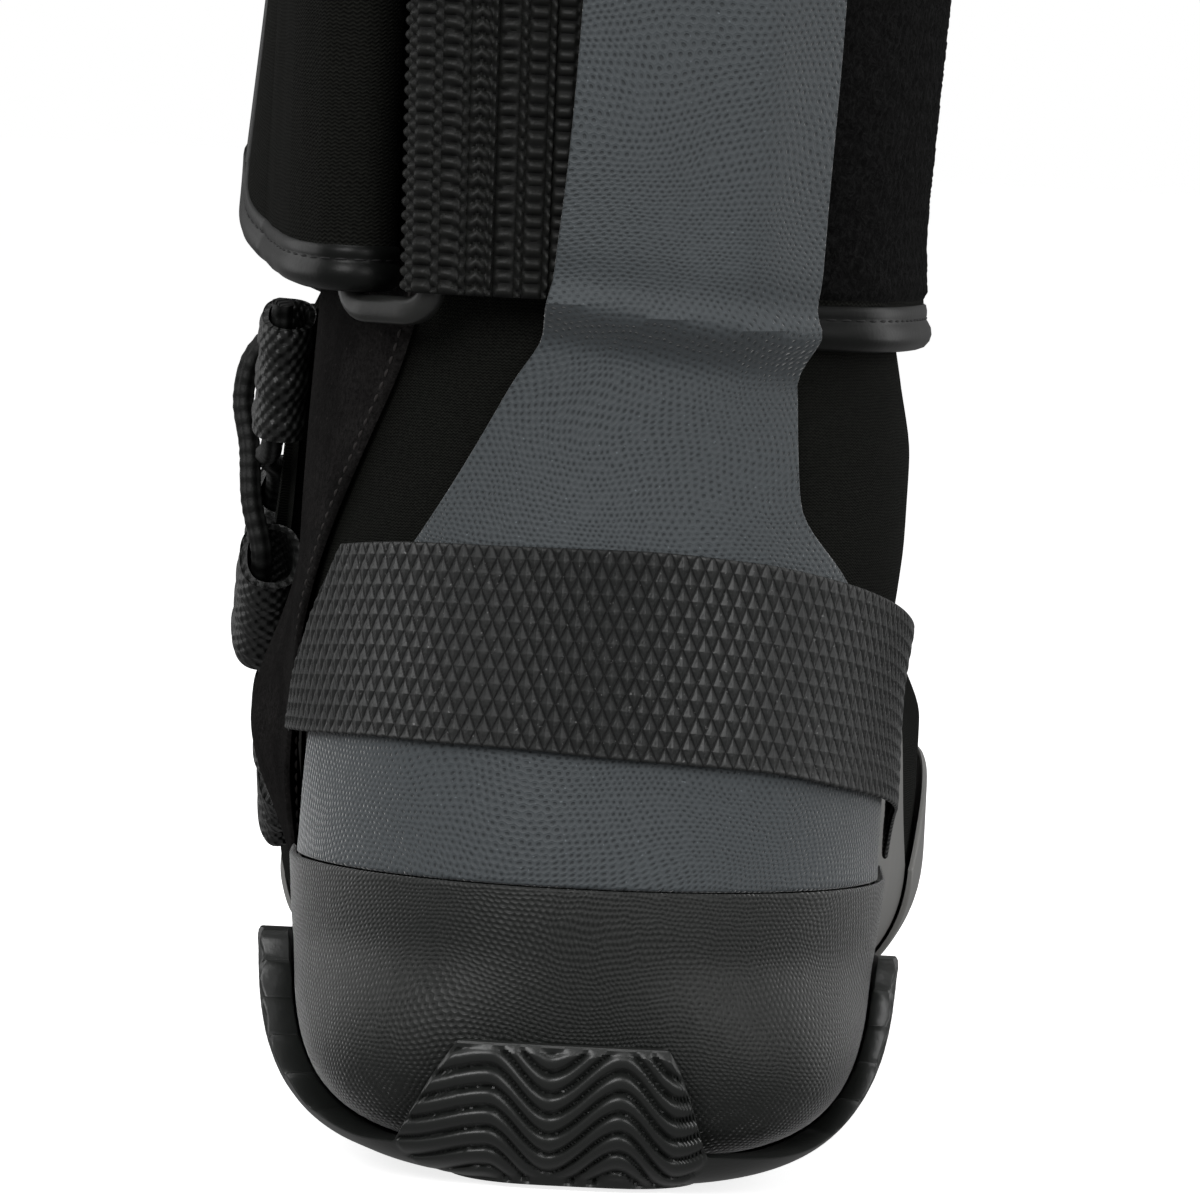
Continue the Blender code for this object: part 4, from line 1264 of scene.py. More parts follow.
@dataclass(frozen=True)
class Braid(Finish):
    """A round braided cord."""

    pitch: float = 1.9

    def pattern(self, nodes: Nodes) -> Pattern:
        """Strands that cross at a slant, painted lighter as highlight where they lie over and darker as shade where
        under.

        Args:
            nodes: The material's node tree.

        Returns:
            Colour, roughness and height.
        """
        u, v, _ = nodes.parts(nodes.flow_point())
        turn = math.pi / (self.pitch * MM)
        one, two = ((u + v) * turn).sine(), ((u - v) * turn).sine()
        over = (one * two) * 0.5 + 0.5
        fibre = nodes.noise(nodes.object_point(), 0.0003, 2.0)
        # Painted highlight on the strands that lie over, painted shade where they run under.
        colour = self.tint(nodes, over, 0.4, 1.5)
        return colour, self.rough + (fibre - 0.5) * 0.2, over + fibre * 0.2


@dataclass(frozen=True)
class DiamondRubber(Finish):
    """Rubber moulded in upright diamonds, with painted shade in the grooves between them."""

    wide: float = 1.75
    tall: float = 3.7

    def pattern(self, nodes: Nodes) -> Pattern:
        """Painted shade in the grooves, a painted highlight on the tops and a few pale specks.

        Args:
            nodes: The material's node tree.

        Returns:
            Colour, roughness and height.
        """
        u, v, _ = nodes.parts(nodes.flow_point())
        a, b = u * (1 / (self.wide * MM)), v * (1 / (self.tall * MM))
        one, two = (a + b + 40.0).math("FRACT"), (a - b + 40.0).math("FRACT")
        room = 1.0 - (one - two).size()
        spear = (room - (one + two - 1.0).size()) * ((room + 0.06) ** -0.5)
        groove = 1 - spear.step(0.02, 0.24)
        point = nodes.object_point()
        cloud = nodes.noise(point, 0.01, 3.0)
        pale_speck = nodes.noise(point, 0.0005, 1.0).step(0.72, 0.78)
        colour = self.tint(nodes, cloud, 0.85, 1.15)
        # Painted highlight: the diamonds' tops are made lighter.
        colour = nodes.mix(spear.step(0.62, 0.95) * 0.5, colour, shade(self.colour, 1.6))
        # Painted shade: the grooves between the diamonds are made darker.
        colour = nodes.mix(groove * 0.85, colour, shade(self.colour, 0.15))
        # Scattered pale specks.
        colour = nodes.mix(pale_speck * 0.5, colour, (0.2, 0.2, 0.2))
        height = spear - groove * 0.35 + nodes.noise(point, 0.0004, 2.0) * 0.2
        return colour, self.rough + groove * 0.25 + (cloud - 0.5) * 0.1, height


@dataclass(frozen=True)
class Herringbone(Finish):
    """Elastic webbing woven in chevrons, with painted shade between its yarns and a painted highlight on their tops."""

    column: float = 3.5
    row: float = 1.7
    spine: float = 42.5

    def pattern(self, nodes: Nodes) -> Pattern:
        """Yarns laid across each column, with a chain of knots between two columns.

        Args:
            nodes: The material's node tree.

        Returns:
            Colour, roughness and height.
        """
        u, v, _ = nodes.parts(nodes.flow_point())
        frac = ((u * (1 / (self.column * MM)) - self.spine / self.column + 40.5).math("FRACT") - 0.5).size() * 2.0
        rows = v * (1 / (self.row * MM))
        bar = 1 - ((rows.math("FRACT") - 0.5).size() * 2.0) ** 2.2
        knot = 1 - (((rows + 0.5).math("FRACT") - 0.5).size() * 2.0) ** 2.0
        side = frac.step(0.66, 0.80)
        top = bar * (1 - side) + knot * side
        fibre = nodes.noise(nodes.object_point(), 0.00035, 2.0)
        # Painted highlight on the yarns' tops, painted shade in the hollows between them.
        colour = self.tint(nodes, top, 0.25, 1.6)
        return colour, self.rough + (1 - top) * 0.3, fibre


class Finishes(Enum):
    """The boot's finishes."""

    FOAM = KnitFoam("knit_foam", (0.0066, 0.0069, 0.0059), 0.88, 0.18, 0.05, 0.0)
    STRAP = KnitFoam("strap_knit", (0.0058, 0.0059, 0.0051), 0.86, 0.16, 0.05, 0.0, 0.5, 0.7)
    PANEL = DimpledRubber("dimpled_rubber", (0.056, 0.064, 0.069), 0.55, 0.12, 0.3, 0.75, 0.86)
    CUP = DimpledRubber("pebbled_rubber", (0.0076, 0.0087, 0.0077), 0.44, 0.09, 0.40, 0.50, 0.66)
    GRIP = DiamondRubber("grip_rubber", (0.0105, 0.0114, 0.0110), 0.46, 0.42, 0.45, 0.0, 1.75, 3.9)
    SOLE = Finish("sole_rubber", (0.0125, 0.0137, 0.0127), 0.38, 0.03, 0.5)
    # Grey rubber made paler than its own colour, so that it also carries a painted reflection of the bright surround.
    RAND = Finish("satin_rubber", (0.165, 0.163, 0.155), 0.34, 0.02, 0.5)
    SUEDE = Suede("black_suede", (0.0150, 0.0140, 0.0138), 0.95, 0.5, 0.03, 0.0)
    PILE = LoopPile("loop_pile", (0.0034, 0.0034, 0.0034), 0.95, 0.8, 0.1)
    WEBBING = Weave("loop_webbing", (0.0062, 0.0066, 0.0062), 0.42, 0.3, 0.45)
    ELASTIC = Herringbone("elastic_weave", (0.0042, 0.0044, 0.0039), 0.5, 0.04, 0.24)
    BINDING = Finish("edge_binding", (0.0042, 0.0046, 0.0042), 0.38, 0.03, 0.2)
    LACE = Braid("braided_cord", (0.0062, 0.0066, 0.0062), 0.6, 0.35, 0.3)
    RING = Finish("ring_plastic", (0.0130, 0.0133, 0.0124), 0.36, 0.02, 0.42)
    THREAD = Finish("dark_thread", (0.006, 0.006, 0.006), 0.6, 0.02, 0.3)
    SEAM = Finish("seam_thread", (0.026, 0.023, 0.022), 0.75, 0.02, 0.2)


def finish_piece(obj: Obj, look: Finishes, slot: str, *nodes: str) -> None:
    """Gives a piece its material and its body, and hides the solids that it stands for.

    Args:
        obj: The piece.
        look: Its finish.
        slot: Not used.
        nodes: CAD nodes that it replaces.
    """
    obj.data.materials.clear()
    obj.data.materials.append(look.value.make())
    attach(obj, BODY)
    if nodes:
        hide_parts(*nodes)
    LOG.info("%s: %d faces", obj.name, len(obj.data.polygons))


# Sub-assemblies
class Plan:
    """Columns round the foot: each is a start on the foot's middle line and a level direction."""

    def __init__(self, heel_angles: Sequence[float], sides: int, toe_angles: Sequence[float]) -> None:
        """Lists the columns' shares along the foot and their turns.

        Args:
            heel_angles: Turns round the heel, negative on the inner side.
            sides: Columns along each side.
            toe_angles: Turns round the toe, from 90 to 180.
        """
        along = np.linspace(0, 1, sides + 2)[1:-1]
        out = [(0.0, a) for a in heel_angles if a >= 0]
        out += [(s, 90.0) for s in along]
        out += [(1.0, a) for a in toe_angles]
        inner = [(1.0, 360.0 - a) for a in reversed(toe_angles) if a < 180]
        inner += [(s, 270.0) for s in reversed(along)]
        inner += [(0.0, 360.0 + a) for a in heel_angles if a < 0]
        self.share, self.angle = np.array(out + inner + [(0.0, 360.0)]).T
        self.count = len(self.share) - 1

    def rays(self, column: Array, front_centre: Any) -> tuple[Array, Array, Array, Array]:
        """Start, direction and share of columns.

        Args:
            column: Columns, whole or between two.
            front_centre: Station of the toe's centre.

        Returns:
            Y, x and y of the direction, and the share along the foot.
        """
        share = np.interp(column, np.arange(self.count + 1), self.share)
        angle = np.radians(np.interp(column, np.arange(self.count + 1), self.angle))
        return front_centre * share, np.sin(angle), -np.cos(angle), share


@dataclass
class Profile:
    """The last's profile up each column round the foot.

    Attributes:
        x: X of each column's start.
        y: Y of each column's start.
        dx: X of its level direction.
        dy: Y of its level direction.
        share: Its share along the foot.
        inner: Whether it is on the inner side.
        turn: Its turn from straight back, up to 180.
        run: Runs to the surface, one row a height.
        z: Heights of the surface.
        out_r: The surface's normal along the run.
        out_z: The surface's normal upwards.
    """

    x: Array
    y: Array
    dx: Array
    dy: Array
    share: Array
    inner: Array
    turn: Array
    run: Array
    z: Array
    out_r: Array
    out_z: Array


@dataclass
class Crease:
    """A soft trough or ridge on the upper, on both sides or one.

    Attributes:
        y: Station of its middle.
        z: Height of its middle.
        lean: Its slope in degrees from level, in the side view.
        long: Half its length.
        wide: Half its width.
        depth: How far it goes in, or out where negative.
    """

    y: float
    z: float
    lean: float
    long: float
    wide: float
    depth: float

    def at(self, points: Array) -> Array:
        """Depth at points of the upper.

        Args:
            points: Points in millimetres.

        Returns:
            The depths.
        """
        a = math.radians(self.lean)
        dy, dz = points[:, 1] - self.y, points[:, 2] - self.z
        along, aside = dy * math.cos(a) + dz * math.sin(a), dz * math.cos(a) - dy * math.sin(a)
        return self.depth * np.exp(-((along / self.long) ** 2) - (aside / self.wide) ** 2)


@dataclass
class Upper:
    """The foam upper with its tongue."""

    plan: Plan = field(default_factory=lambda: Plan(list(range(-90, 91, 15)), 8, list(range(90, 181, 15))))
    finer_round: int = 4
    finer_up: int = 5
    front_run: float = 46.0
    toe_centre: float = 178.0
    tongue: float = 2.5
    tongue_gap: float = 0.9
    tongue_lap: float = 9.0
    tongue_swell: float = 8.6
    tongue_run: tuple[float, float] = (-0.075, 0.972)
    swell_run: tuple[float, float, float, float] = (0.34, 0.5, 0.72, 0.84)
    swell_half: float = 0.75
    pattern: tuple[float, float] = (560.0, 250.0)
    cutter: tuple[float, float] = (-12.0, -75.0)
    rings: Table = table(
        "ring z_back z_front lifted",
        (0, 6, 6, 1), (1, 7.4, 7.4, 1), (2, 10, 9.4, 1), (3, 14, 12.4, 1), (4, 19, 16, 1),
        (5, 25, 20.5, 1), (6, 32, 28, 0.6), (7, 40, 35, 0.25), (8, 48, 40.5, 0),
        (9, 56, 44, 0), (10, 64, 47.5, 0), (11, 72, 51.5, 0), (12, 80, 56, 0),
        (13, 88, 62, 0), (14, 96, 70, 0), (15, 104, 79, 0), (16, 113, 90, 0),
        (17, 124, 103, 0), (18, 138, 120, 0), (19, 157, 150, 0), (20, 188, 190, 0),
    )
    creases: list[Crease] = field(default_factory=lambda: [
        Crease(84.0, 84.0, -42.0, 7.0, 5.0, 1.1), Crease(74.0, 93.0, -48.0, 7.0, 5.0, 1.0),
        Crease(66.0, 103.0, -58.0, 8.0, 5.0, 0.9), Crease(168.0, 40.0, -70.0, 12.0, 5.0, 0.8),
        Crease(155.0, 42.0, -72.0, 13.0, 5.0, 0.9), Crease(142.0, 44.0, -74.0, 13.0, 5.5, 0.7),
        Crease(30.0, 88.0, 12.0, 12.0, 4.0, 0.5),
    ])

    def surface(self, s: Array, t: Array) -> Array:
        """The outer face: s goes round from the heel by the outer side, t from sole to collar.

        Args:
            s: Shares round the foot.
            t: Shares up it.

        Returns:
            Points in millimetres.
        """
        ring = np.asarray(t) * self.rings.rows[-1, 0]
        lifted = self.rings.at("lifted", ring)
        z_back, z_front = self.rings.at("z_back", ring), self.rings.at("z_front", ring)
        front = LAST.levels.at("front", z_front + lifted * LAST.lift(LAST.spring[2]))
        centre = np.clip(front - self.front_run, 14.0, self.toe_centre)
        y, dx, dy, share = self.plan.rays(np.asarray(s) * self.plan.count, centre)
        flat = z_back + (z_front - z_back) * ease(share, 0, 1)
        return LAST.follow(None, y, dx, dy, flat, lifted)[1]

    def build(self) -> None:
        """Makes the upper's wall with its throat, and the tongue behind it."""
        columns, rows = self.plan.count * self.finer_round, int(self.rings.rows[-1, 0]) * self.finer_up
        upper = Mesher.grid("upper_foam", columns, rows, self.surface,
                            lambda s, t: rows_of(s, t) * self.pattern)
        Mesher.weld(upper)
        Mesher.face_out(upper, core_line)
        self.press(upper)
        Mesher.modify(upper, "SOLIDIFY", thickness=WALL * MM, offset=-1.0, use_even_offset=True,
                      use_quality_normals=True)
        self.cut_throat(upper)
        Mesher.smooth(upper, 42.0)
        finish_piece(upper, Finishes.FOAM, "upper", "upper")

        def tongue(s: Array, t: Array) -> Array:
            """The tongue's face, swollen out where the throat is open.

            Args:
                s: Shares across.
                t: Shares along.

            Returns:
                Points in millimetres.
            """
            share = self.tongue_run[0] + (self.tongue_run[1] - self.tongue_run[0]) * t
            half = THROAT.half(share)
            aside = (2 * s - 1) * (half + self.tongue_lap)
            y, z = THROAT.beside(share, aside)
            swell = self.tongue_swell * window(share, *self.swell_run)
            out = swell * np.exp(-((aside / (half * self.swell_half)) ** 4))
            return LAST.inner_side(y, z) - np.outer(out, (1.0, 0.0, 0.0))
        sheet = Sheet("tongue_foam", tongue, 32.0, 200.0, -(WALL + self.tongue_gap + self.tongue), self.tongue, 2.0)
        finish_piece(sheet.build(), Finishes.FOAM, "tongue", "tongue")

    def press(self, upper: Obj) -> None:
        """Presses the creases into the outer skin.

        Args:
            upper: The upper's skin.
        """
        mesh = upper.data
        co, normal = (np.empty(len(mesh.vertices) * 3, np.float32) for _ in range(2))
        mesh.vertices.foreach_get("co", co)
        mesh.vertex_normals.foreach_get("vector", normal)
        co, normal = co.reshape(-1, 3).astype(float), normal.reshape(-1, 3)
        depth = sum(c.at(co / MM) for c in self.creases)
        co -= normal * depth[:, None] * MM
        mesh.vertices.foreach_set("co", co.astype(np.float32).ravel())
        mesh.update()

    def cut_throat(self, upper: Obj) -> None:
        """Cuts the slot down the inner side.

        Args:
            upper: The upper.
        """
        def face(x: float) -> Place:
            """One side of the cutter."""
            def place(s: Array, t: Array) -> Array:
                """The slot's outline, upright."""
                y, z = THROAT.beside(t, (2 * s - 1) * THROAT.half(t))
                return rows_of(np.full_like(y, x), y, z)
            return place
        cutter = Mesher.join("throat_cutter", [
            Mesher.grid(name, 1, 60, face(x)) for name, x in zip(("throat_near", "throat_far"), self.cutter)])
        Mesher.close(cutter, bpy.ops.mesh.bridge_edge_loops)
        Mesher.modify(upper, "BOOLEAN", operation="DIFFERENCE", solver="EXACT", object=cutter)
        bpy.data.objects.remove(cutter)


@dataclass
class Outsole:
    """The cup sole: wings up the sides, a ribbed heel pad, chevron lugs, and the insole over it."""

    toe_centre: float = 178.0
    rim_out: Table = table(
        "turn z", (0, 18.5), (15.2, 18.5), (15.8, 17.9), (24.4, 5.6), (25.4, 4.9), (36, 4.9), (45, 5.4), (54, 7.2),
        (63, 11), (71, 17), (78, 24), (84, 27), (90, 27.2))
    rim_in: Table = table(
        "turn z", (0, 18.5), (20, 18.5), (20.6, 17.9), (32.4, 5.6), (33.6, 4.9), (40, 4.9), (46, 5.4), (55, 7.2),
        (63, 11), (71, 17), (78, 24), (84, 27), (90, 27.2))
    rim_side: Table = table(
        "share z", (0, 27.2), (0.06, 26.2), (0.2, 22.6), (0.3, 18.6), (0.4, 15.6), (0.48, 15.4), (0.55, 15),
        (0.7, 11.5), (0.85, 9.5), (1, 10), (2, 12.5))
    inside: Table = table(
        "turn d", (0, 2.4), (76, 2.4), (90, 2.3), (120, 2.6), (180, 2.6))
    outside: Table = table(
        "share d", (0, 5.2), (0.12, 5.8), (0.3, 5.3), (0.7, 4.6), (1, 4.6))
    zig: Table = table(
        "x z", (-30, 2.2), (-20, 3), (-10.8, 5), (-3.2, -0.9), (5.6, 5), (12.7, -0.9), (20, 3.5))
    inner_wing: float = 1.2
    rib: float = 2.65
    rib_high: float = 1.25
    wave: float = 4.3
    wave_high: float = 1.1
    wave_run: tuple[float, float, float, float] = (52, 60, 80, 86)
    pad_rise: tuple[float, float, float, float] = (0.0, 0.06, 0.93, 0.98)
    pad_turns: tuple[float, float] = (33.0, 25.0)
    side_rib: float = 3.0
    side_high: float = 0.5
    plateau: float = 6.8
    flange: float = 0.8
    flange_wide: float = 1.6
    toe_flange: float = 9.0
    groove: tuple[float, float, float] = (2.4, 1.5, 4.0)
    bed_gap: float = 1.3
    bed_base: float = 7.8
    bed_thick: float = 3.0
    bed_edge: tuple[float, float] = (0.4, 2.4)
    lugs: tuple[float, ...] = (-22, -11, 0, 11, 112, 123, 134, 145, 156)
    plan: Plan = field(init=False)
    p: Profile = field(init=False)

    def profile(self, plan: Plan) -> Profile:
        """The last's profile up each column of a plan.

        Args:
            plan: The columns.

        Returns:
            The profile.
        """
        y, dx, dy, share = plan.rays(np.arange(plan.count), self.toe_centre)
        turn = plan.angle[:-1]
        inner = turn > 180
        height = np.concatenate([np.linspace(0.3, 4, 24), np.linspace(4.5, 34.0, 60)])
        x = LAST.ridge(y, LAST.floor)
        run, points = LAST.follow(x, y, dx, dy, LAST.floor + height[:, None])
        z = points[..., 2]
        along_r, along_z = np.gradient(run, axis=0), np.gradient(z, axis=0)
        size = np.hypot(along_r, along_z)
        return Profile(x, y, dx, dy, share, inner, np.where(inner, 360 - turn, turn), run, z,
                       along_z / size, -along_r / size)

    @staticmethod
    def at_height(z: Array, runs: Array, heights: Array) -> Array:
        """The run of each column at its own height.

        Args:
            z: The heights, one a column.
            runs: Runs up each column.
            heights: Heights up each column.

        Returns:
            The runs.
        """
        return np.array([
            np.interp(z[c], np.maximum.accumulate(heights[:, c]) + np.arange(len(heights)) * 1e-9, runs[:, c])
            for c in range(runs.shape[1])])

    def rim(self) -> Array:
        """The height of the rim over each column, before the toe's lift.

        Returns:
            The heights.
        """
        turn, share = self.p.turn, self.p.share
        heel = np.where(self.p.inner, self.rim_in.at("z", turn), self.rim_out.at("z", turn))
        heel = heel + self.wave_high * np.sin(2 * math.pi * heel / self.wave) * window(turn, *self.wave_run)
        side = self.rim_side.at("z", np.where(share >= 1, 1 + (turn - 90) / 90, share))
        return np.where(share > 0, side, heel)

    def sections(self) -> tuple[Array, Array]:
        """Rows from the tread up the outside, over the rim and down to the inside floor.

        Returns:
            Runs and heights, one line a row.
        """
        p = self.p
        turn, share = p.turn, p.share
        wing = p.inner * self.inner_wing * ease(turn, 45, 75) * (1 - ease(share, 0.05, 0.3))
        d_out = self.outside.at("d", share) + wing
        out_r, out_z = p.run + d_out * p.out_r, p.z + d_out * p.out_z
        d_in = self.inside.at("d", turn)
        in_r, in_z = p.run + d_in * p.out_r, p.z + d_in * p.out_z
        floor = LAST.lift(p.y + p.dy * out_r[0])
        rim = self.rim() + np.where(share > 0, LAST.lift(p.y + p.dy * out_r[30]), 0.0)
        rows: list[tuple[Array, Array]] = []
        for part in np.concatenate([[0, 0.02, 0.05], np.linspace(0.07, 0.96, 66), [0.985, 1.0]]):
            z = floor + (rim - floor) * part
            run = self.at_height(z, out_r, out_z)
            edge = 0.4 * (1 - math.sqrt(max(0.0, 1 - max(0.0, (part - 0.95) / 0.05) ** 2)))
            rows.append((run + self.relief(run, z, part) - edge, z))
        low = in_z[3]
        for part in (1.0, 0.97, 0.8, 0.6, 0.42, 0.28, 0.17, 0.09, 0.04, 0.0):
            z = low + (rim - low) * part
            edge = 0.3 * max(0.0, (part - 0.96) / 0.04) ** 2
            rows.append((self.at_height(z, in_r, in_z) + edge, z))
        wall_r = p.run - WALL * p.out_r
        height = p.z[:, 0] - p.z[0, 0] + 0.3
        edge = np.array([np.interp(self.flange, height, column) for column in wall_r.T]) - self.flange_wide
        edge = edge - self.toe_flange * ease(turn, 90, 165) * (share >= 1)
        rows.append((edge, rows[-1][1] - 0.05))
        rows.append((edge, LAST.floor + LAST.lift(p.y + p.dy * edge) + self.plateau))
        return np.array([r for r, _ in rows]), np.array([z for _, z in rows])

    def build(self) -> None:
        """Makes the sole and the insole."""
        heel = list(np.arange(0, 26, 0.5)) + list(np.arange(26, 50, 1.2)) + list(np.arange(50, 90, 0.5)) + [90]
        heel_in = list(np.arange(-0.5, -34.5, -0.5)) + list(np.arange(-34.8, -50, -1.2))
        heel_in += list(np.arange(-50, -90, -0.5)) + [-90]
        self.plan = Plan(heel_in[::-1] + heel, 150, list(np.linspace(90, 180, 25)))
        self.p = self.profile(self.plan)
        count = self.plan.count
        runs, heights = self.sections()
        last = len(runs) - 1

        def wall(s: Array, t: Array) -> Array:
            """The sole's skin from the tread over the rim to the inside floor."""
            c = nearest(s * count) % count
            r = nearest(t * last)
            return self.point(c, runs[r, c], heights[r, c])
        pieces = [Mesher.grid("sole_wall", count, last, wall),
                  self.ladder("sole_bottom", runs[0], heights[0], 48, self.tread),
                  self.ladder("sole_plateau", runs[-1], heights[-1], 2,
                              lambda q: self.over_floor(q, self.plateau))]
        sole = Mesher.join("cup_sole", pieces)
        Mesher.weld(sole, 2e-5)
        Mesher.smooth(sole, 35.0)
        finish_piece(sole, Finishes.SOLE, "outsole", "outsole")
        self.build_insole()

    @staticmethod
    def over_floor(points: Array, height: float) -> Array:
        """Heights of points that lie over the inside floor."""
        return LAST.floor + LAST.lift(points[:, 1]) + height

    def point(self, column: Array, run: Array, z: Array) -> Array:
        """Points at runs along columns."""
        p = self.p
        return rows_of(p.x[column] + p.dx[column] * run, p.y[column] + p.dy[column] * run, z)

    def relief(self, run: Array, z: Array, part: float) -> Array:
        """Ribs on the outer wall: zigzags on the heel pad and slanted ribs up the wings.

        Args:
            run: Runs of a row.
            z: Its heights.
            part: Its share of the wall's height.

        Returns:
            Heights of the ribs.
        """
        p = self.p
        x, y = p.x + p.dx * run, p.y + p.dy * run
        limit = np.where(p.inner, *self.pad_turns)
        pad = (p.share == 0) * (1 - ease(p.turn, limit - 1.0, limit + 0.4))
        phase = (z - self.zig.at("z", x)) / self.rib
        wave = 2 * (phase - np.floor(phase)) - 1
        ribs = self.rib_high * (0.35 - np.abs(wave) ** 2.6) * pad
        ribs = ribs * float(window(part, *self.pad_rise))
        back = ease(np.where(p.share > 0, 90.0, p.turn), 62, 74) * (1 - ease(p.share, 0.75, 0.95))
        slant = (y + 0.35 * z) / self.side_rib
        side = self.side_high * (0.5 * np.cos(2 * math.pi * slant) - 0.3) * back
        side = side * float(ease(part, 0.12, 0.25))
        return ribs + side

    def tread(self, points: Array) -> Array:
        """Heights of the underside, with chevron grooves.

        Args:
            points: Points of the underside.

        Returns:
            Their heights.
        """
        wide, deep, tall = self.groove
        x, y = points[:, 0], points[:, 1]
        bend = tall * (1 - 4 * np.abs(((x + 62.0) / 31.0) % 1 - 0.5))
        near = np.min(np.abs(y[:, None] - bend[:, None] - np.array(self.lugs)[None]), axis=1)
        cut = 1 - ease(near, wide / 2 - 0.4, wide / 2 + 0.5)
        half = np.where(y > 60, 30.0, 20.0)
        return LAST.lift(y) + deep * cut * (1 - ease(np.abs(x + 2), half - 6, half))

    def ladder(self, name: str, run: Array, z: Array, across: int, level: Callable[[Array], Array]) -> Obj:
        """Faces across the foot between the two sides of a row.

        Args:
            name: The object's name.
            run: The row's runs.
            z: The row's heights.
            across: Faces across the foot.
            level: Heights of the points between.

        Returns:
            The object.
        """
        half = self.plan.count // 2
        outer = self.point(np.arange(self.plan.count), run, z)
        sides = np.arange(half + 1)
        a, b = outer[sides], outer[-sides % self.plan.count]

        def place(s: Array, t: Array) -> Array:
            """Points across, level at the row and free between."""
            i = nearest(t * half)
            made = a[i] + (b[i] - a[i]) * s[:, None]
            edge = (s < 1e-6) | (s > 1 - 1e-6) | (i == 0) | (i == half)
            made[:, 2] = np.where(edge, made[:, 2], level(made))
            return made
        return Mesher.grid(name, across, half, place)

    def build_insole(self) -> None:
        """Makes the foot bed, crowned towards its edge."""
        p = self.p
        depth = WALL + self.bed_gap
        in_r, in_z = p.run - depth * p.out_r, p.z - depth * p.out_z
        target = LAST.floor + LAST.lift(p.y + p.dy * in_r[25]) + self.bed_base
        run = self.at_height(target, in_r, in_z)
        inset, rise = self.bed_edge
        under = self.ladder("bed_under", run, target, 6, lambda q: self.over_floor(q, self.bed_base))
        over = self.ladder("bed_over", run - inset, target + rise, 12,
                           lambda q: self.over_floor(q, self.bed_base + self.bed_thick))
        bed = Mesher.join("foot_bed", [under, over])
        Mesher.close(bed, bpy.ops.mesh.bridge_edge_loops)
        core = self.bed_base + self.bed_thick / 2
        Mesher.face_out(bed, lambda c: rows_of(c[:, 0], c[:, 1], MM * self.over_floor(c / MM, core)))
        Mesher.smooth(bed, 40.0)
        finish_piece(bed, Finishes.FOAM, "insole", "insole")


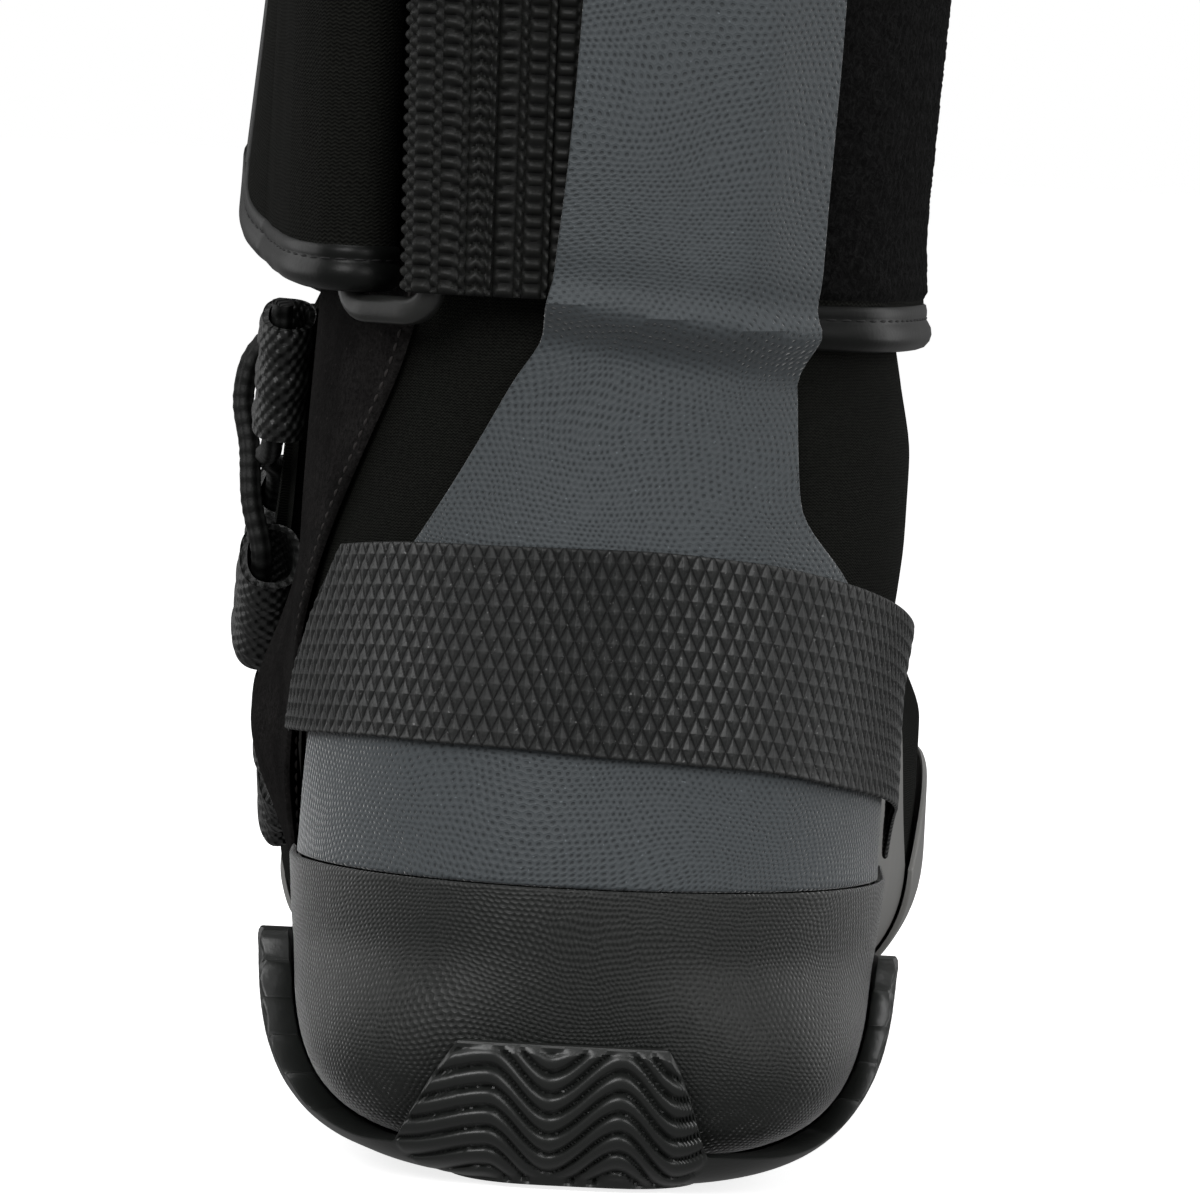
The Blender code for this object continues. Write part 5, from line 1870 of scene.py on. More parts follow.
@dataclass
class HeelPieces:
    """The rubber pieces round the heel and the forefoot: cup, panel, strap, rand and side film."""

    cup: tuple[float, float, float, float] = (-89.0, 104.0, 6.4, 37.5)
    cup_thick: float = 1.6
    panel_thick: float = 1.0
    strap_thick: float = 1.2
    over_strap: float = 5.9
    step: float = 105.8
    step_slope: float = 0.13
    panel: Table = table(
        "z left right",
        (37.6, -35.4, 35.4), (54, -34.6, 35.5), (66, -30, 34.5), (76, -24, 29.5), (85, -18.8, 23.6),
        (93, -14.6, 22.8), (99, -11.6, 22.4), (105, -8.2, 21.4), (112, -6.6, 20.9), (145, -4.8, 21.8),
        (186, -4, 22.5))
    strap: Table = table(
        "turn low high",
        (-88, 52.4, 74.2), (-60, 53.2, 76.6), (-35, 54, 78.3), (-16, 54, 78.7), (5, 53.3, 78.9),
        (27, 52.2, 77.9), (45, 50.2, 75.9), (65, 47.9, 72.9), (80, 45.8, 70.4), (90, 44.4, 69), (118, 37, 62))
    strap_ends: tuple[float, float, float] = (-77.0, -53.0, 116.0)
    strap_tall: float = 25.0
    degree: float = 0.7
    diamond: tuple[float, float, float] = (1.75, 3.9, 0.26)
    rand_columns: tuple[int, int] = (11, 30)
    rand_low: float = 3.2
    rand: Table = table(
        "share h", (0, 24), (0.06, 34), (0.15, 37), (0.3, 31), (0.5, 20), (0.65, 23), (0.8, 17), (0.9, 12), (1, 10))
    film_columns: tuple[float, float] = (7.05, 10.96)
    film: Table = table(
        "share h", (0, 44), (0.25, 47), (0.55, 46.5), (0.75, 42), (0.9, 31), (1, 24.2))
    rand_thick: float = 1.2
    film_thick: float = 0.4
    toe_centre: float = 178.0

    def build(self, plan: Plan) -> None:
        """Makes all five pieces.

        Args:
            plan: The upper's columns, which the rand follows.
        """
        self.build_cup()
        self.build_panel()
        self.build_strap()
        self.build_rand(plan)

    def build_cup(self) -> None:
        """The counter round the heel, under the sole's wings."""
        start, end, low, top = self.cup

        def surface(s: Array, t: Array) -> Array:
            """The heel under the cup."""
            return LAST.round_heel(start + (end - start) * s, low + (top - low) * t ** 1.5)
        sheet = Sheet("heel_counter", surface, 128.0, 40.0, GAP, self.cup_thick, 1.3, None, 0.35,
                      measured(surface))
        finish_piece(sheet.build(), Finishes.CUP, "heel_cup", "heel_cup")

    def build_panel(self) -> None:
        """The grey panel up the back, which stands over the ankle strap."""
        low, high = self.panel.rows[0, 0], self.panel.rows[-1, 0]
        levels = np.linspace(low, high, 140)
        lefts = LAST.turn_at(self.panel.at("left", levels), levels)
        rights = LAST.turn_at(self.panel.at("right", levels), levels)

        def surface(s: Array, t: Array) -> Array:
            """The heel between the panel's edges."""
            z = low + (high - low) * t
            left, right = np.interp(z, levels, lefts), np.interp(z, levels, rights)
            return LAST.round_heel(left + (right - left) * s, z)

        def start(points: Array) -> Array:
            """How far the panel stands off: over the strap, with a pinch and two soft folds.

            Args:
                points: Points of the heel.

            Returns:
                Distances in millimetres.
            """
            x, z = points[:, 0], points[:, 2]
            edge = self.step - self.step_slope * (x - 8.0)
            over = window(z, edge - 4.4, edge + 2.2, 155, 182)
            pinch = -0.7 * bump_at(z, edge + 5.0, 2.4) + 0.35 * bump_at(z, edge + 1.6, 1.5)
            fold = 0.8 * bump_at(x, 13.5, 3.2) * window(z, 108, 122, 140, 165)
            sway = -0.7 * bump_at(x, 9.0, 4.0) * window(z, 108, 120, 140, 165)
            return GAP + (self.over_strap - GAP) * over + pinch + fold + sway
        sheet = Sheet("heel_tab", surface, 62.0, 148.0, start, self.panel_thick, 1.0, None, 0.4,
                      measured(surface))
        finish_piece(sheet.build(1.3), Finishes.PANEL, "heel_panel", "heel_panel")

    def build_strap(self) -> None:
        """The grip strap across the heel, moulded in diamonds."""
        left_low, left_high, right = self.strap_ends

        def turn_of(s: Array, t: Array) -> Array:
            """Turns round the heel, from the slanted end on."""
            left = left_low + (left_high - left_low) * t
            return left + (right - left) * s

        def surface(s: Array, t: Array) -> Array:
            """The heel under the strap."""
            turn = turn_of(s, t)
            low, high = self.strap.at("low", turn), self.strap.at("high", turn)
            return LAST.round_heel(turn, low + (high - low) * t)

        def flow(s: Array, t: Array) -> Array:
            """Pattern coordinates that stay upright at the slanted end."""
            return rows_of((turn_of(s, t) + 90.0) * self.degree, t * self.strap_tall)

        wide, tall, high = self.diamond

        def relief(u: Array, v: Array, points: Array) -> Array:
            """Spear-shaped diamonds, flat along both edges."""
            one, two = (u / wide + v / tall) % 1, (u / wide - v / tall) % 1
            room = 1 - np.abs(one - two)
            spear = np.maximum(room - np.abs(one + two - 1), 0) / np.sqrt(room + 0.06)
            inset = np.minimum(v, self.strap_tall - v)
            return high * (spear - 0.5) * ease(inset, 0.4, 1.0)
        sheet = Sheet("heel_grip", surface, 132.0, self.strap_tall, GAP + self.panel_thick + GAP, self.strap_thick,
                      0.34, relief, 0.4, flow)
        finish_piece(sheet.build(0.36), Finishes.GRIP, "heel_strap", "heel_strap")

    def build_rand(self, plan: Plan) -> None:
        """The smooth band round the forefoot, and the pale film on the outer side behind it, both pale grey in part as
        a painted reflection of the bright surround.

        Args:
            plan: The upper's columns.
        """
        def band(columns: Sequence[float], top: Table) -> Place:
            """A band of the upper's side over the sole."""
            def surface(s: Array, t: Array) -> Array:
                """The upper's side under the band."""
                y, dx, dy, _ = plan.rays(columns[0] + (columns[1] - columns[0]) * s, self.toe_centre)
                height = self.rand_low + (top.at("h", s) - self.rand_low) * t
                return LAST.follow(LAST.ridge(y, LAST.floor), y, dx, dy, LAST.floor + height)[1]
            return surface
        sheet = Sheet("toe_rand", band(self.rand_columns, self.rand), 330.0, 24.0, GAP, self.rand_thick, 1.6, None, 0.7)
        finish_piece(sheet.build(1.2), Finishes.RAND, "forefoot_rand", "forefoot_rand")
        # The film takes the same pale rubber, partly a painted reflection.
        film = Sheet("side_film", band(self.film_columns, self.film), 78.0, 42.0, 0.05, self.film_thick, 2.0, None, 0.3)
        finish_piece(film.build(), Finishes.RAND, "upper")


@dataclass
class Lacing:
    """The suede bands beside the throat, the webbing loops on them and the lace."""

    shares: tuple[float, float] = (0.02, 0.79)
    edge: float = 1.2
    band: float = 16.0
    suede: float = 1.2
    slack: tuple[float, float, float] = (27.0, 52.0, 6.4)
    slack_half: tuple[float, float] = (16.0, 14.0)
    sag: float = 12.0
    rear_edge: Table = table(
        "t y z", (0, 22, 20.5), (0.15, 14.5, 32), (0.35, 5.5, 52), (0.55, -6.5, 71), (0.75, -15.5, 87),
        (0.9, -21, 101), (1, -23.5, 113))
    loops: Table = table(
        "loop rear front high long", (0, 0.10, 0.09, 2.4, 14), (1, 0.27, 0.25, 2.4, 14), (2, 0.46, 0.41, 4, 18),
        (3, 0.709, 0.618, 3.6, 15.6))
    lace_past: float = 1.7
    loop_wide: float = 5.4
    loop_wall: float = 0.95
    loop_in: float = 1.0
    lace: float = 1.5
    bow: tuple[float, ...] = (0.5, 0.8, 1.2, 1.2)
    bight: Table = table(
        "x y z", (-46.3, 37.6, 79), (-47, 38.4, 86.5), (-48.1, 39.2, 93), (-46.8, 39, 98.6),
        (-43.9, 39.2, 101.4))

    def build(self) -> None:
        """Makes bands, seam, loops and lace."""
        self.build_bands()
        for side, word in ((-1, "rear"), (1, "front")):
            for loop in range(len(self.loops.rows)):
                self.build_loop(loop, side, word)
        self.build_lace()

    def share(self, t: Array) -> Array:
        """The throat's share beside a band's t."""
        return self.shares[0] + (self.shares[1] - self.shares[0]) * t

    def rear(self, s: Array, t: Array) -> Array:
        """The rear band's surface.

        Args:
            s: Shares across.
            t: Shares along.

        Returns:
            Points in millimetres.
        """
        share = self.share(t)
        y, z = THROAT.beside(share, -(THROAT.half(share) + self.edge))
        back, low = self.rear_edge.at("y", t), self.rear_edge.at("z", t)
        sag = self.sag * 4 * s * (1 - s) * (1 - t) ** 3
        return LAST.inner_side(back + (y - back) * s, low + (z - low) * s - sag)

    def build_bands(self) -> None:
        """The suede on both sides of the throat, with the seam along its rear edge."""
        def front(s: Array, t: Array) -> Array:
            """The front band's surface."""
            share = self.share(t)
            return LAST.inner_side(*THROAT.beside(share, THROAT.half(share) + self.edge + self.band * s))

        def slack(points: Array) -> Array:
            """How far the rear band bags out."""
            y, z, out = self.slack
            along, up = self.slack_half
            return GAP + out * bump_at(points[:, 1], y, along) * bump_at(points[:, 2], z, up)
        rear = Sheet("suede_rear", self.rear, 48.0, 110.0, slack, self.suede, 1.3, None, 0.6)
        finish_piece(rear.build(), Finishes.SUEDE, "eyestay_rear", "eyestay_rear")
        ahead = Sheet("suede_front", front, 16.0, 110.0, GAP, self.suede, 1.3, None, 0.6)
        finish_piece(ahead.build(), Finishes.SUEDE, "eyestay_front", "eyestay_front")
        t = np.linspace(0.08, 0.99, 120)
        s = np.full_like(t, 0.03)
        normal = normals_of(self.rear, s, t)
        normal = normal * np.sign(-normal[:, :1])
        line = self.rear(s, t) + normal * (GAP + self.suede + 0.02)
        seam = stitches("suede_seam", line, normal, 1.3, 0.5, 0.2)
        finish_piece(seam, Finishes.SEAM, "eyestay_rear")

    def frame(self, loop: int, side: int) -> tuple[Array, Array, Array, Array, float]:
        """Middle and axes of a loop.

        Args:
            loop: Its number from the toe end.
            side: -1 for the rear row, 1 for the front one.

        Returns:
            The middle, axes along the throat, across it and away from the boot, and the height.
        """
        p = float(self.loops.at("rear" if side < 0 else "front", loop))
        off = side * (float(THROAT.half(p)) + self.loop_in)

        def at(share: float, more: float) -> Array:
            """A point of the inner side beside the throat."""
            return LAST.inner_side(*THROAT.beside(np.array([share]), np.array([off + more])))[0]
        along = at(p + 0.01, 0) - at(p - 0.01, 0)
        across = at(p, 1.0) - at(p, -1.0)
        along = along / np.linalg.norm(along)
        away = np.cross(along, across)
        away = away * np.sign(-away[0]) / np.linalg.norm(away)
        across = np.cross(away, along)
        high = float(self.loops.at("high", loop))
        return at(p, 0) + away * (GAP + self.suede + 0.35 + high), along, across, away, high

    def build_loop(self, loop: int, side: int, word: str) -> None:
        """One folded loop of webbing, open at both ends.

        Args:
            loop: Its number from the toe end.
            side: -1 for the rear row, 1 for the front one.
            word: The row's name.
        """
        middle, along, across, away, high = self.frame(loop, side)
        around, steps = 56, 30
        wall, half = self.loop_wall, float(self.loops.at("long", loop)) / 2
        lengths = np.concatenate([[-half + 0.15], np.linspace(-half, half, steps), [half - 0.15],
                                  np.linspace(half, -half, 8)])
        walls = np.concatenate([[0.12], np.zeros(steps), [0.12], np.full(8, wall)])
        count = len(lengths)

        def place(s: Array, t: Array) -> Array:
            """The loop's skin, outside and inside, with the ripple of its weave.

            Args:
                s: Shares round the loop.
                t: Shares along it and back.

            Returns:
                Points in millimetres.
            """
            i = nearest(t * count) % count
            slack = 0.18 * np.sin(lengths[i] * 1.1 + 2.0) * (walls[i] < 0.5)
            wide, tall = self.loop_wide - walls[i] + slack, high - walls[i] + slack
            c, d = blunt(s, 0.8, 0.8).T
            ripple = 0.5 * (walls[i] < 0.05) * np.maximum(0, np.sin(lengths[i] * 2 * math.pi / 2.1)) * 0.35
            lift = np.outer(d * (tall + ripple), away)
            return middle + np.outer(lengths[i], along) + np.outer(c * (wide + ripple), across) + lift

        def flow(s: Array, t: Array) -> Array:
            """Pattern coordinates: round the loop and along it."""
            i = nearest(t * count) % count
            return rows_of(s * 28.0, lengths[i])
        obj = Mesher.grid(f"webbing_loop_{word}_{loop + 1}", around, count, place, flow)
        Mesher.weld(obj)
        Mesher.smooth(obj, 60.0)
        node = f"lace_loop_{word}_{loop + 1}"
        finish_piece(obj, Finishes.WEBBING, node, node)

    def strand(self, first: int) -> list[Array]:
        """Points of one strand, from the lowest loop to the top one.

        Args:
            first: The side it starts on.

        Returns:
            The points.
        """
        path: list[Array] = []
        side = first
        for loop in range(len(self.loops.rows)):
            middle, along, _, away, high = self.frame(loop, side)
            middle = middle + away * (high - self.loop_wall - self.lace - 0.25)
            past = along * (float(self.loops.at("long", loop)) / 2 + self.lace_past)
            low = middle - past
            if path and first < 0 and loop == len(self.loops.rows) - 1:
                return path + list(self.bight.rows) + [middle + along * 4.6, middle, middle - along * 3.0]
            if path:
                path.append((path[-1] + low) / 2 + away * self.bow[loop])
            path += [low, middle, middle + past]
            side = -side
        return path

    def build_lace(self) -> None:
        """The braided cord: two strands crossed through the loops, joined by a bar at the toe end."""
        rear, front = self.strand(-1), self.strand(1)
        below = (rear[0] + front[0]) / 2 + np.array([-1.2, 2.0, -2.0])
        path = smooth_path(rear[::-1] + [below] + front, 420)
        across, away = frames_along(path, np.array([-1.0, 0.0, 0.0]))
        turns = 2 * math.pi * self.lace / 4.6

        def section(s: Array, length: Array) -> Array:
            """The cord's section with its braid."""
            a = 2 * math.pi * s
            braid = 0.10 * np.sin(4 * a + length * turns) * np.sin(4 * a - length * turns)
            radius = self.lace - 0.08 + braid
            return rows_of(np.cos(a) * radius, np.sin(a) * radius)
        cord = tube("shoe_lace", path, across, away, section, 32, flow_round=2 * math.pi * self.lace)
        finish_piece(cord, Finishes.LACE, "lace", "lace")


@dataclass
class Course:
    """The way of a band on edge round the leg.

    Attributes:
        turn: Turns round the leg.
        off: Distances off the leg.
        low: Its low edge at each point.
        flare: How far its low edge stands out at each point.
        high: Its high edge.
    """

    turn: Array
    off: Array
    low: Array
    flare: Array
    high: float

    def middle(self) -> tuple[Array, Array]:
        """The middle line and the direction inwards on a first pass.

        Returns:
            Points, and level unit vectors.
        """
        flat = LAST.round_leg(self.turn, (self.low + self.high) / 2, self.off)
        ahead = np.gradient(flat, axis=0)
        return flat, unit(rows_of(-ahead[:, 1], ahead[:, 0], np.zeros(len(flat))))

    def outer(self, index: Array, over: Array, depth: Array) -> tuple[Array, Array]:
        """Points off the band's middle face, outwards on a first pass.

        Args:
            index: Places along the course, in points.
            over: Heights over the low edge.
            depth: Distances off the middle face.

        Returns:
            The points, and the direction away from the face.
        """
        knots = np.arange(len(self.turn))
        turn, off, low, flare = between(index, knots, rows_of(self.turn, self.off, self.low, self.flare)).T
        away = between(index, knots, -self.middle()[1])
        out = flare * (1 - over / (self.high - low))
        return LAST.round_leg(turn, low + over, off + out) + away * depth[:, None], away


@dataclass
class AnkleStrap:
    """The strap round the ankle, the elastic that answers it, and the ring between them."""

    off: float = 2.4
    thick: float = 3.4
    low: float = 104.7
    low_ring: float = 109.4
    high: float = 153.2
    ring_off: float = 7.6
    ring_bar: float = 1.6
    ring_corner: float = 3.2
    leg_radius: float = 50.0
    play: float = 0.45
    ring_turns: tuple[float, float] = (-39.0, -24.0)
    ring_heights: tuple[float, float] = (107.0, 156.2)
    elastic: tuple[float, float, float] = (1.4, 109.4, 152.0)
    weave: tuple[float, float] = (3.5, 1.7)
    spine: float = 42.5
    hug: float = 1.7
    tuck: float = 2.8
    hug_run: tuple[float, float, float, float] = (40, 70, 120, 150)
    tuck_run: tuple[float, float] = (28, 44)
    end_flare: float = 2.4
    end: Table = table(
        "turn rise", (269.5, 13.9), (270, 12.6), (270.8, 11.4), (271.8, 10.3), (273, 9.4), (275.8, 7.6), (278.7, 6.2),
        (281.5, 5.1), (284.3, 4.2), (287.2, 3.5), (290, 2.9), (296, 2), (300.5, 1.5), (305, 1.1), (309, 0.8),
        (313, 0.5), (317, 0.2), (323, 0))
    seam: float = 3.55
    pile_run: tuple[int, int] = (2, 52)
    pile_low: float = 5.5
    pile_top: float = 2.4
    end_tape: tuple[float, float] = (2.6, 2.1)
    ring_section: tuple[float, float] = (1.75, 1.35)
    tape: tuple[tuple[float, float], ...] = (
        (5.3, 1.45), (5.1, 1.9), (4.5, 1.98), (3.9, 1.92), (3.5, 1.72), (3.0, 2.0), (2.3, 2.3), (1.5, 2.3),
        (0.7, 1.95), (0.0, 1.25), (-0.3, 0.42),
    )

    def fold(self, bar: float, radius: float, sense: int) -> list[tuple[float, float]]:
        """A half turn round a bar of the ring.

        Args:
            bar: The bar's turn.
            radius: Of the band's middle.
            sense: 1 to go on round the leg, -1 to go back.

        Returns:
            Turns and distances off the leg.
        """
        wide = math.degrees(radius / self.leg_radius)
        return [(bar + sense * wide * math.sin(a), self.ring_off - radius * math.cos(a))
                for a in np.linspace(0, math.pi, 15)]

    def strap_course(self) -> Course:
        """The strap's way: once round the leg, round the ring's bar and back over itself.

        Returns:
            The course.
        """
        inner = self.off + self.thick / 2
        back = self.off + 1.5 * self.thick + self.play
        radius = self.ring_bar + self.play + self.thick / 2
        path = [(14.0 + 276.0 * i / 92, inner) for i in range(93)]
        path += [(295.0, inner), (301.0, inner + 0.1), (306.0, inner + 0.12), (311.0, inner + 0.15)]
        path += self.fold(360 + self.ring_turns[0], radius, 1)
        turned = len(path)
        over = self.ring_off + radius
        path += [(317.0, over - 0.1), (313.0, over - 0.6), (309.0, over - 1.4), (305.0, over - 2.2)]
        path += [(300.5, back + 0.9), (296.0, back + 0.5)]
        folded = len(path)
        ends = np.concatenate([np.linspace(293.6, 273, 19), [271.8, 270.8, 270.0, 269.5]])
        path += [(float(turn), back) for turn in ends]
        first = np.array([t for t, _ in path[:folded]])
        flare = list(-self.hug * window(first, *self.hug_run) - self.tuck * (1 - ease(first, *self.tuck_run)))
        flare += list(self.end_flare * ease(-ends, -302, -276))
        rise = self.low + (self.low_ring - self.low) * ease(np.arange(len(path)), 60, 85)
        rise[turned:] += self.end.at("rise", np.array([t for t, _ in path[turned:]]))
        return Course(*np.array(path).T, rise, np.array(flare), self.high)

    @staticmethod
    def ribbon(name: str, course: Course, thick: float, relief: Optional[Place], rows: int,
               round_edge: float) -> Obj:
        """A band on edge along its course.

        Args:
            name: The object's name.
            course: Its way round the leg.
            thick: Its thickness.
            relief: Height added to both faces, from the length along the course and the height.
            rows: Faces up one side.
            round_edge: Radius of the rounded edges.

        Returns:
            The object.
        """
        turn, off, low, flare, high = course.turn, course.off, course.low, course.flare, course.high
        flat, aside = course.middle()
        run = lengths_along(flat)
        # One turn round the section: up the outer face, over the top, and down the inner one
        tall = float(np.mean(high - low))
        arc = np.linspace(0, math.pi / 2, 4)[1:-1]
        climb = list(round_edge * (1 - np.cos(arc))) + list(np.linspace(round_edge, tall - round_edge, rows))
        climb += list(tall - round_edge * (1 - np.cos(arc[::-1])))
        depth = [thick / 2 - min(round_edge, thick / 2) * (1 - math.sin(a)) for a in arc]
        face = depth + [thick / 2] * rows + depth[::-1]
        levels = np.array([0.0] + climb + [tall] + climb[::-1])
        faces = np.array([0.0] + face + [0.0] + [-f for f in face[::-1]])
        count, last = len(levels), len(turn) - 1
        grid_turn, grid_off = np.repeat(turn, count), np.repeat(off, count)
        z = (low[:, None] + levels[None] * ((high - low) / tall)[:, None]).ravel()
        out = np.repeat(flare, count) * (1 - (z - np.repeat(low, count)) / np.repeat(high - low, count))
        middle = LAST.round_leg(grid_turn, z, grid_off + out).reshape(len(turn), count, 3)
        thickness = np.broadcast_to(faces[None], (len(turn), count)).copy()
        if relief is not None:
            lengths = np.repeat(run, count).reshape(len(turn), count)
            added = relief(lengths, np.broadcast_to(levels[None], lengths.shape))
            thickness += added * np.sign(thickness)
        points = middle + aside[:, None] * thickness[:, :, None]

        def place(s: Array, t: Array) -> Array:
            """The band's skin."""
            i = nearest(t * last)
            return points[i, nearest(s * count) % count]

        def flow(s: Array, t: Array) -> Array:
            """Pattern coordinates: along the course and up."""
            i = nearest(t * last)
            return rows_of(run[i], levels[nearest(s * count) % count])
        obj = Mesher.grid(name, count, last, place, flow)
        Mesher.cap(obj)
        Mesher.smooth(obj, 55.0)
        return obj

    def build(self) -> None:
        """Makes the strap with its pile and binding, the elastic and the ring."""
        course = self.strap_course()
        body = self.ribbon("ankle_band", course, self.thick, None, 30, 1.5)
        finish_piece(body, Finishes.STRAP, "ankle_strap", "ankle_strap")
        self.build_pile(course)
        self.build_binding(course)
        self.build_end(course)
        self.build_elastic()
        self.build_ring()

    def build_pile(self, course: Course) -> None:
        """The woolly loop face on the strap's first pass, from the panel round to the front.

        Args:
            course: The strap's way.
        """
        first, last = self.pile_run
        low, high = self.pile_low, self.high - self.low - self.pile_top

        def place(s: Array, t: Array) -> Array:
            """The pile's face, fluffy and low at its rim."""
            index = first + (last - first) * s
            z = low + (high - low) * t
            rim = np.minimum(np.minimum(t, 1 - t) * (high - low), np.minimum(s, 1 - s) * 90.0)
            fluff = 0.22 * np.sin(index * 5.1 + np.sin(z * 2.3) * 2) * np.sin(z * 3.7 + np.sin(index * 3.3) * 2)
            lift = -0.3 + 0.75 * ease(rim, 0.0, 1.2) + fluff * ease(rim, 0.2, 1.5)
            return course.outer(index, z, self.thick / 2 + lift)[0]
        obj = Mesher.grid("strap_pile", 190, 60, place, lambda s, t: rows_of(s * 90.0, t * 40.0))
        Mesher.face_out(obj, core_line)
        Mesher.modify(obj, "SOLIDIFY", thickness=0.6 * MM, offset=-1.0)
        Mesher.smooth(obj, 80.0)
        finish_piece(obj, Finishes.PILE, "ankle_strap")

    def build_binding(self, course: Course) -> None:
        """The smooth tape that binds both edges: a roll on the edge and a flat strip with a row of stitches.

        Args:
            course: The strap's way.
        """
        index = np.linspace(0, len(course.turn) - 1, len(course.turn) * 2)
        tape = np.array(self.tape)
        tape = np.vstack([tape, tape[::-1] * (1, -1)])
        steps = len(tape) - 1
        for word, edge, sense in (("low", 0.0, 1.0), ("high", self.high - self.low, -0.4)):
            def place(s: Array, t: Array, edge: float = edge, sense: float = sense) -> Array:
                """The tape's section along one edge."""
                where = index[nearest(t * (len(index) - 1))]
                over, depth = tape[nearest(s * steps)].T
                return course.outer(where, edge + sense * over, depth)[0]
            obj = Mesher.grid(f"binding_{word}", steps, len(index) - 1, place,
                              lambda s, t: rows_of(s * 14.0, t * 400.0))
            Mesher.modify(obj, "SOLIDIFY", thickness=0.25 * MM, offset=0.0)
            Mesher.smooth(obj, 70.0)
            finish_piece(obj, Finishes.BINDING, "ankle_strap")
            rows = []
            for face in (1.0, -1.0):
                line, lead = course.outer(index, np.full(len(index), edge + sense * self.seam),
                                          np.full(len(index), face * (self.thick / 2 + 0.22)))
                rows.append(stitches(f"binding_stitch_{word}", line, lead * face, 1.7, 0.6, 0.17))
            finish_piece(Mesher.join(f"binding_stitch_{word}", rows), Finishes.THREAD, "ankle_strap")

    def build_end(self, course: Course) -> None:
        """The tape up the strap's free end.

        Args:
            course: The strap's way.
        """
        up = np.linspace(0.4, self.high - course.low[-1] - 0.6, 40)
        line, away = course.outer(np.full(len(up), len(course.turn) - 1.0), up, np.zeros(len(up)))
        across, lead = frames_along(line, away)
        obj = tube("binding_end", line, across, lead, lambda s, _: blunt(s, 0.7, 0.8) * self.end_tape, 20)
        finish_piece(obj, Finishes.BINDING, "ankle_strap")

    def build_elastic(self) -> None:
        """The elastic webbing from under the panel round the ring's bar, woven in chevrons."""
        thick, low, high = self.elastic
        inner = self.off + thick / 2
        radius = self.ring_bar + self.play + thick / 2
        rough = [(4.0, inner), (-4.0, inner), (-12.0, inner + 0.8), (-19.0, self.ring_off - radius - 0.3)]
        rough += self.fold(self.ring_turns[1], radius, -1)
        over = self.ring_off + radius
        rough += [(-22.0, over - 0.3), (-18.0, over - 1.4), (-15.5, over - 2.6), (-13.0, inner + 4.3)]
        rough += [(-11.0, inner + 3.2), (-9.0, inner + 2.2), (-5.0, inner + 2.0), (-2.0, inner + 1.9)]
        points = np.array(rough)
        share = np.concatenate([[0.0], np.cumsum(np.hypot(np.diff(points[:, 0]) * 0.75, np.diff(points[:, 1])))])
        fine = np.linspace(0, share[-1], 300)
        course = Course(*between(fine, share, points).T, np.full(len(fine), low), np.zeros(len(fine)), high)

        def relief(u: Array, v: Array) -> Array:
            """Columns of yarns laid across, with chains of knots between them.

            Args:
                u: Millimetres along.
                v: Millimetres up.

            Returns:
                Heights in millimetres.
            """
            apart = (u - self.spine) / self.weave[0] + 0.5
            frac = np.abs(2 * (apart - np.floor(apart)) - 1)
            lean = 0.9 * np.exp(-((u - self.spine) / 1.6) ** 2) * np.abs(u - self.spine) / 1.6
            rows = v / self.weave[1] + lean
            bar = (1 - np.abs(2 * (rows - np.floor(rows)) - 1) ** 2.2) * (1 - np.clip(frac / 0.74, 0, 1) ** 4)
            knot = v / self.weave[1] + 0.5
            chain = (1 - np.abs(2 * (knot - np.floor(knot)) - 1) ** 2) * (1 - np.clip((1 - frac) / 0.26, 0, 1) ** 2)
            return 0.8 * (np.maximum(bar, chain) - 0.6)
        obj = self.ribbon("elastic_webbing", course, thick, relief, 130, 0.5)
        finish_piece(obj, Finishes.ELASTIC, "elastic_band", "elastic_band")

    def build_ring(self) -> None:
        """The moulded ring: a flat loop with rounded corners and a dropped lower bar."""
        left, right = self.ring_turns
        low, high = self.ring_heights
        middle, half = (left + right) / 2, (right - left) / 2
        corner = self.ring_corner
        wide = math.degrees(corner / self.leg_radius)
        turns: list[float] = []
        heights: list[float] = []
        centre = (low + high) / 2
        for quarter in range(4):
            sign_t = 1 if quarter in (0, 3) else -1
            up = 1 if quarter < 2 else -1
            for a in np.radians(np.linspace(quarter * 90, quarter * 90 + 90, 9)):
                turns.append(middle + sign_t * (half - wide) + math.cos(a) * wide)
                heights.append(centre + up * ((high - low) / 2 - corner) + math.sin(a) * corner)
        turn, z = np.array(turns), np.array(heights)
        path = LAST.round_leg(turn, z, np.full(len(turn), self.ring_off))
        closed = np.vstack([path, path[:1]])
        run = lengths_along(closed)
        fine = np.linspace(0, run[-1], 160, endpoint=False)
        path = between(fine, run, closed)
        lead = np.array([path[:, 0].mean(), path[:, 1].mean() - LAST.leg, 0.0])
        lead /= np.linalg.norm(lead)
        across, away = frames_along(path, lead, closed=True)
        obj = tube("strap_loop_ring", path, across, away, lambda s, _: blunt(s, 0.7, 0.7) * self.ring_section, 20, True)
        finish_piece(obj, Finishes.RING, "strap_ring", "strap_ring")


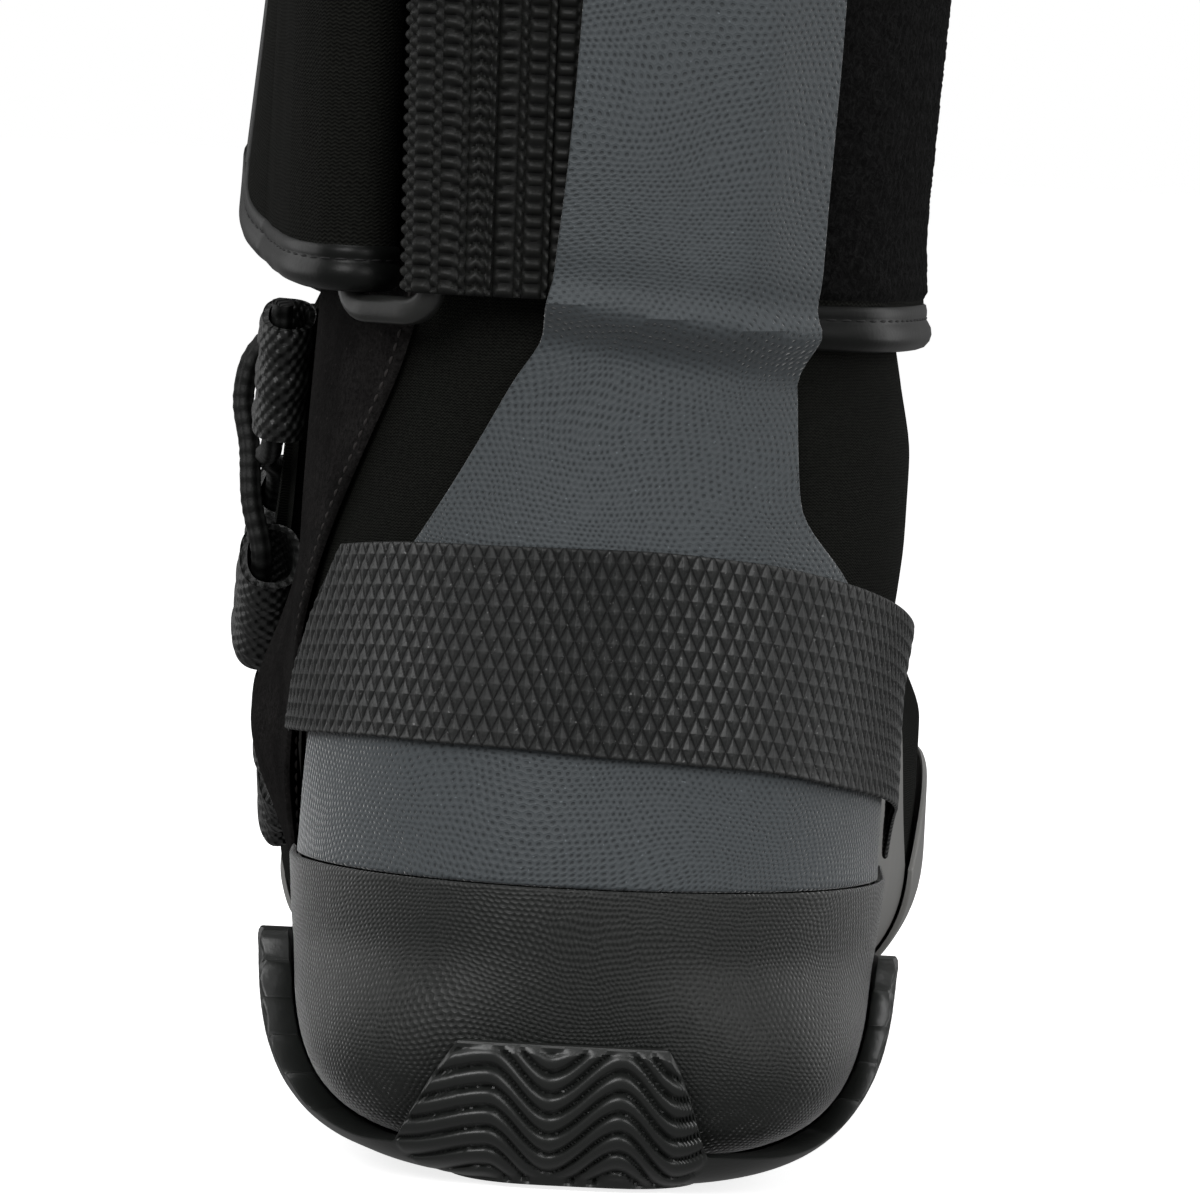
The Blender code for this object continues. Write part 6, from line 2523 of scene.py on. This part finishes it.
@dataclass
class Studio:
    """Camera, floor and light."""

    distance: float = 1.0
    elevation: float = 3.5
    roll: float = 2.8
    aim: tuple[float, float, float] = (0.0, -0.040, 0.0732)
    lens: float = 246.0
    sensor: float = 36.0
    surround: tuple[float, float] = (0.24, 1.0)
    lit: tuple[float, float, float] = (0.0, 0.0, 0.07)
    lamps: tuple[tuple[str, tuple[float, float, float], float, float], ...] = (
        ("key", (-0.45, -1.05, 0.65), 0.6, 9.0),
        ("fill", (0.75, -0.95, 0.35), 0.7, 5.0),
        ("top", (0.0, 0.0, 1.1), 0.8, 6.0),
        ("left", (-0.9, 0.35, 0.3), 0.9, 3.6),
        ("right", (0.9, 0.35, 0.3), 0.9, 3.6),
    )

    def build(self) -> None:
        """Makes the camera, the floor, the world and the lamps."""
        scene = bpy.context.scene
        data = bpy.data.cameras.new("view")
        data.lens, data.sensor_width = self.lens, self.sensor
        camera = bpy.data.objects.new("view", data)
        scene.collection.objects.link(camera)
        e = math.radians(self.elevation)
        back = Vector((0.0, -math.cos(e), math.sin(e)))
        turn = (-back).to_track_quat("-Z", "Y").to_matrix() @ Matrix.Rotation(math.radians(self.roll), 3, "Z")
        camera.matrix_world = Matrix.Translation(Vector(self.aim) + back * self.distance) @ turn.to_4x4()
        scene.camera = camera
        scene.view_settings.view_transform = "Standard"
        self.build_room()

    def build_room(self) -> None:
        """A white room: pale floor, bright surround and soft lamps."""
        scene = bpy.context.scene
        bpy.ops.object.select_all(action="DESELECT")
        bpy.ops.mesh.primitive_plane_add(size=30.0, location=(0, 0, -0.0006))
        floor = bpy.context.active_object
        floor.name = "floor"
        paint = bpy.data.materials.new("floor_paint")
        Nodes(paint).dress({"Base Color": (0.86, 0.86, 0.86), "Roughness": 0.9,
                            "Emission Color": (1.0, 1.0, 1.0), "Emission Strength": 0.8})
        floor.data.materials.append(paint)
        floor.visible_diffuse = floor.visible_glossy = False
        world = bpy.data.worlds.new("room")
        scene.world = world
        world.use_nodes = True
        tree = world.node_tree
        ground = tree.nodes["Background"]
        path = tree.nodes.new("ShaderNodeLightPath")
        bright = tree.nodes.new("ShaderNodeMapRange")
        bright.inputs["To Min"].default_value, bright.inputs["To Max"].default_value = self.surround
        tree.links.new(path.outputs["Is Camera Ray"], bright.inputs["Value"])
        tree.links.new(bright.outputs[0], ground.inputs["Strength"])
        ground.inputs["Color"].default_value = (1, 1, 1, 1)
        for name, place, size, power in self.lamps:
            lamp = bpy.data.lights.new(name, "AREA")
            lamp.energy, lamp.size = power, size
            obj = bpy.data.objects.new(name, lamp)
            obj.location = place
            obj.rotation_euler = (Vector(self.lit) - Vector(place)).to_track_quat("-Z", "Y").to_euler()
            scene.collection.objects.link(obj)


def main() -> None:
    """Builds the boot on its frame."""
    logging.basicConfig(level=logging.INFO, format="%(name)s: %(message)s")
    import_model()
    Studio().build()
    upper = Upper()
    upper.build()
    Outsole().build()
    HeelPieces().build(upper.plan)
    Lacing().build()
    AnkleStrap().build()


if __name__ == "__main__":
    main()
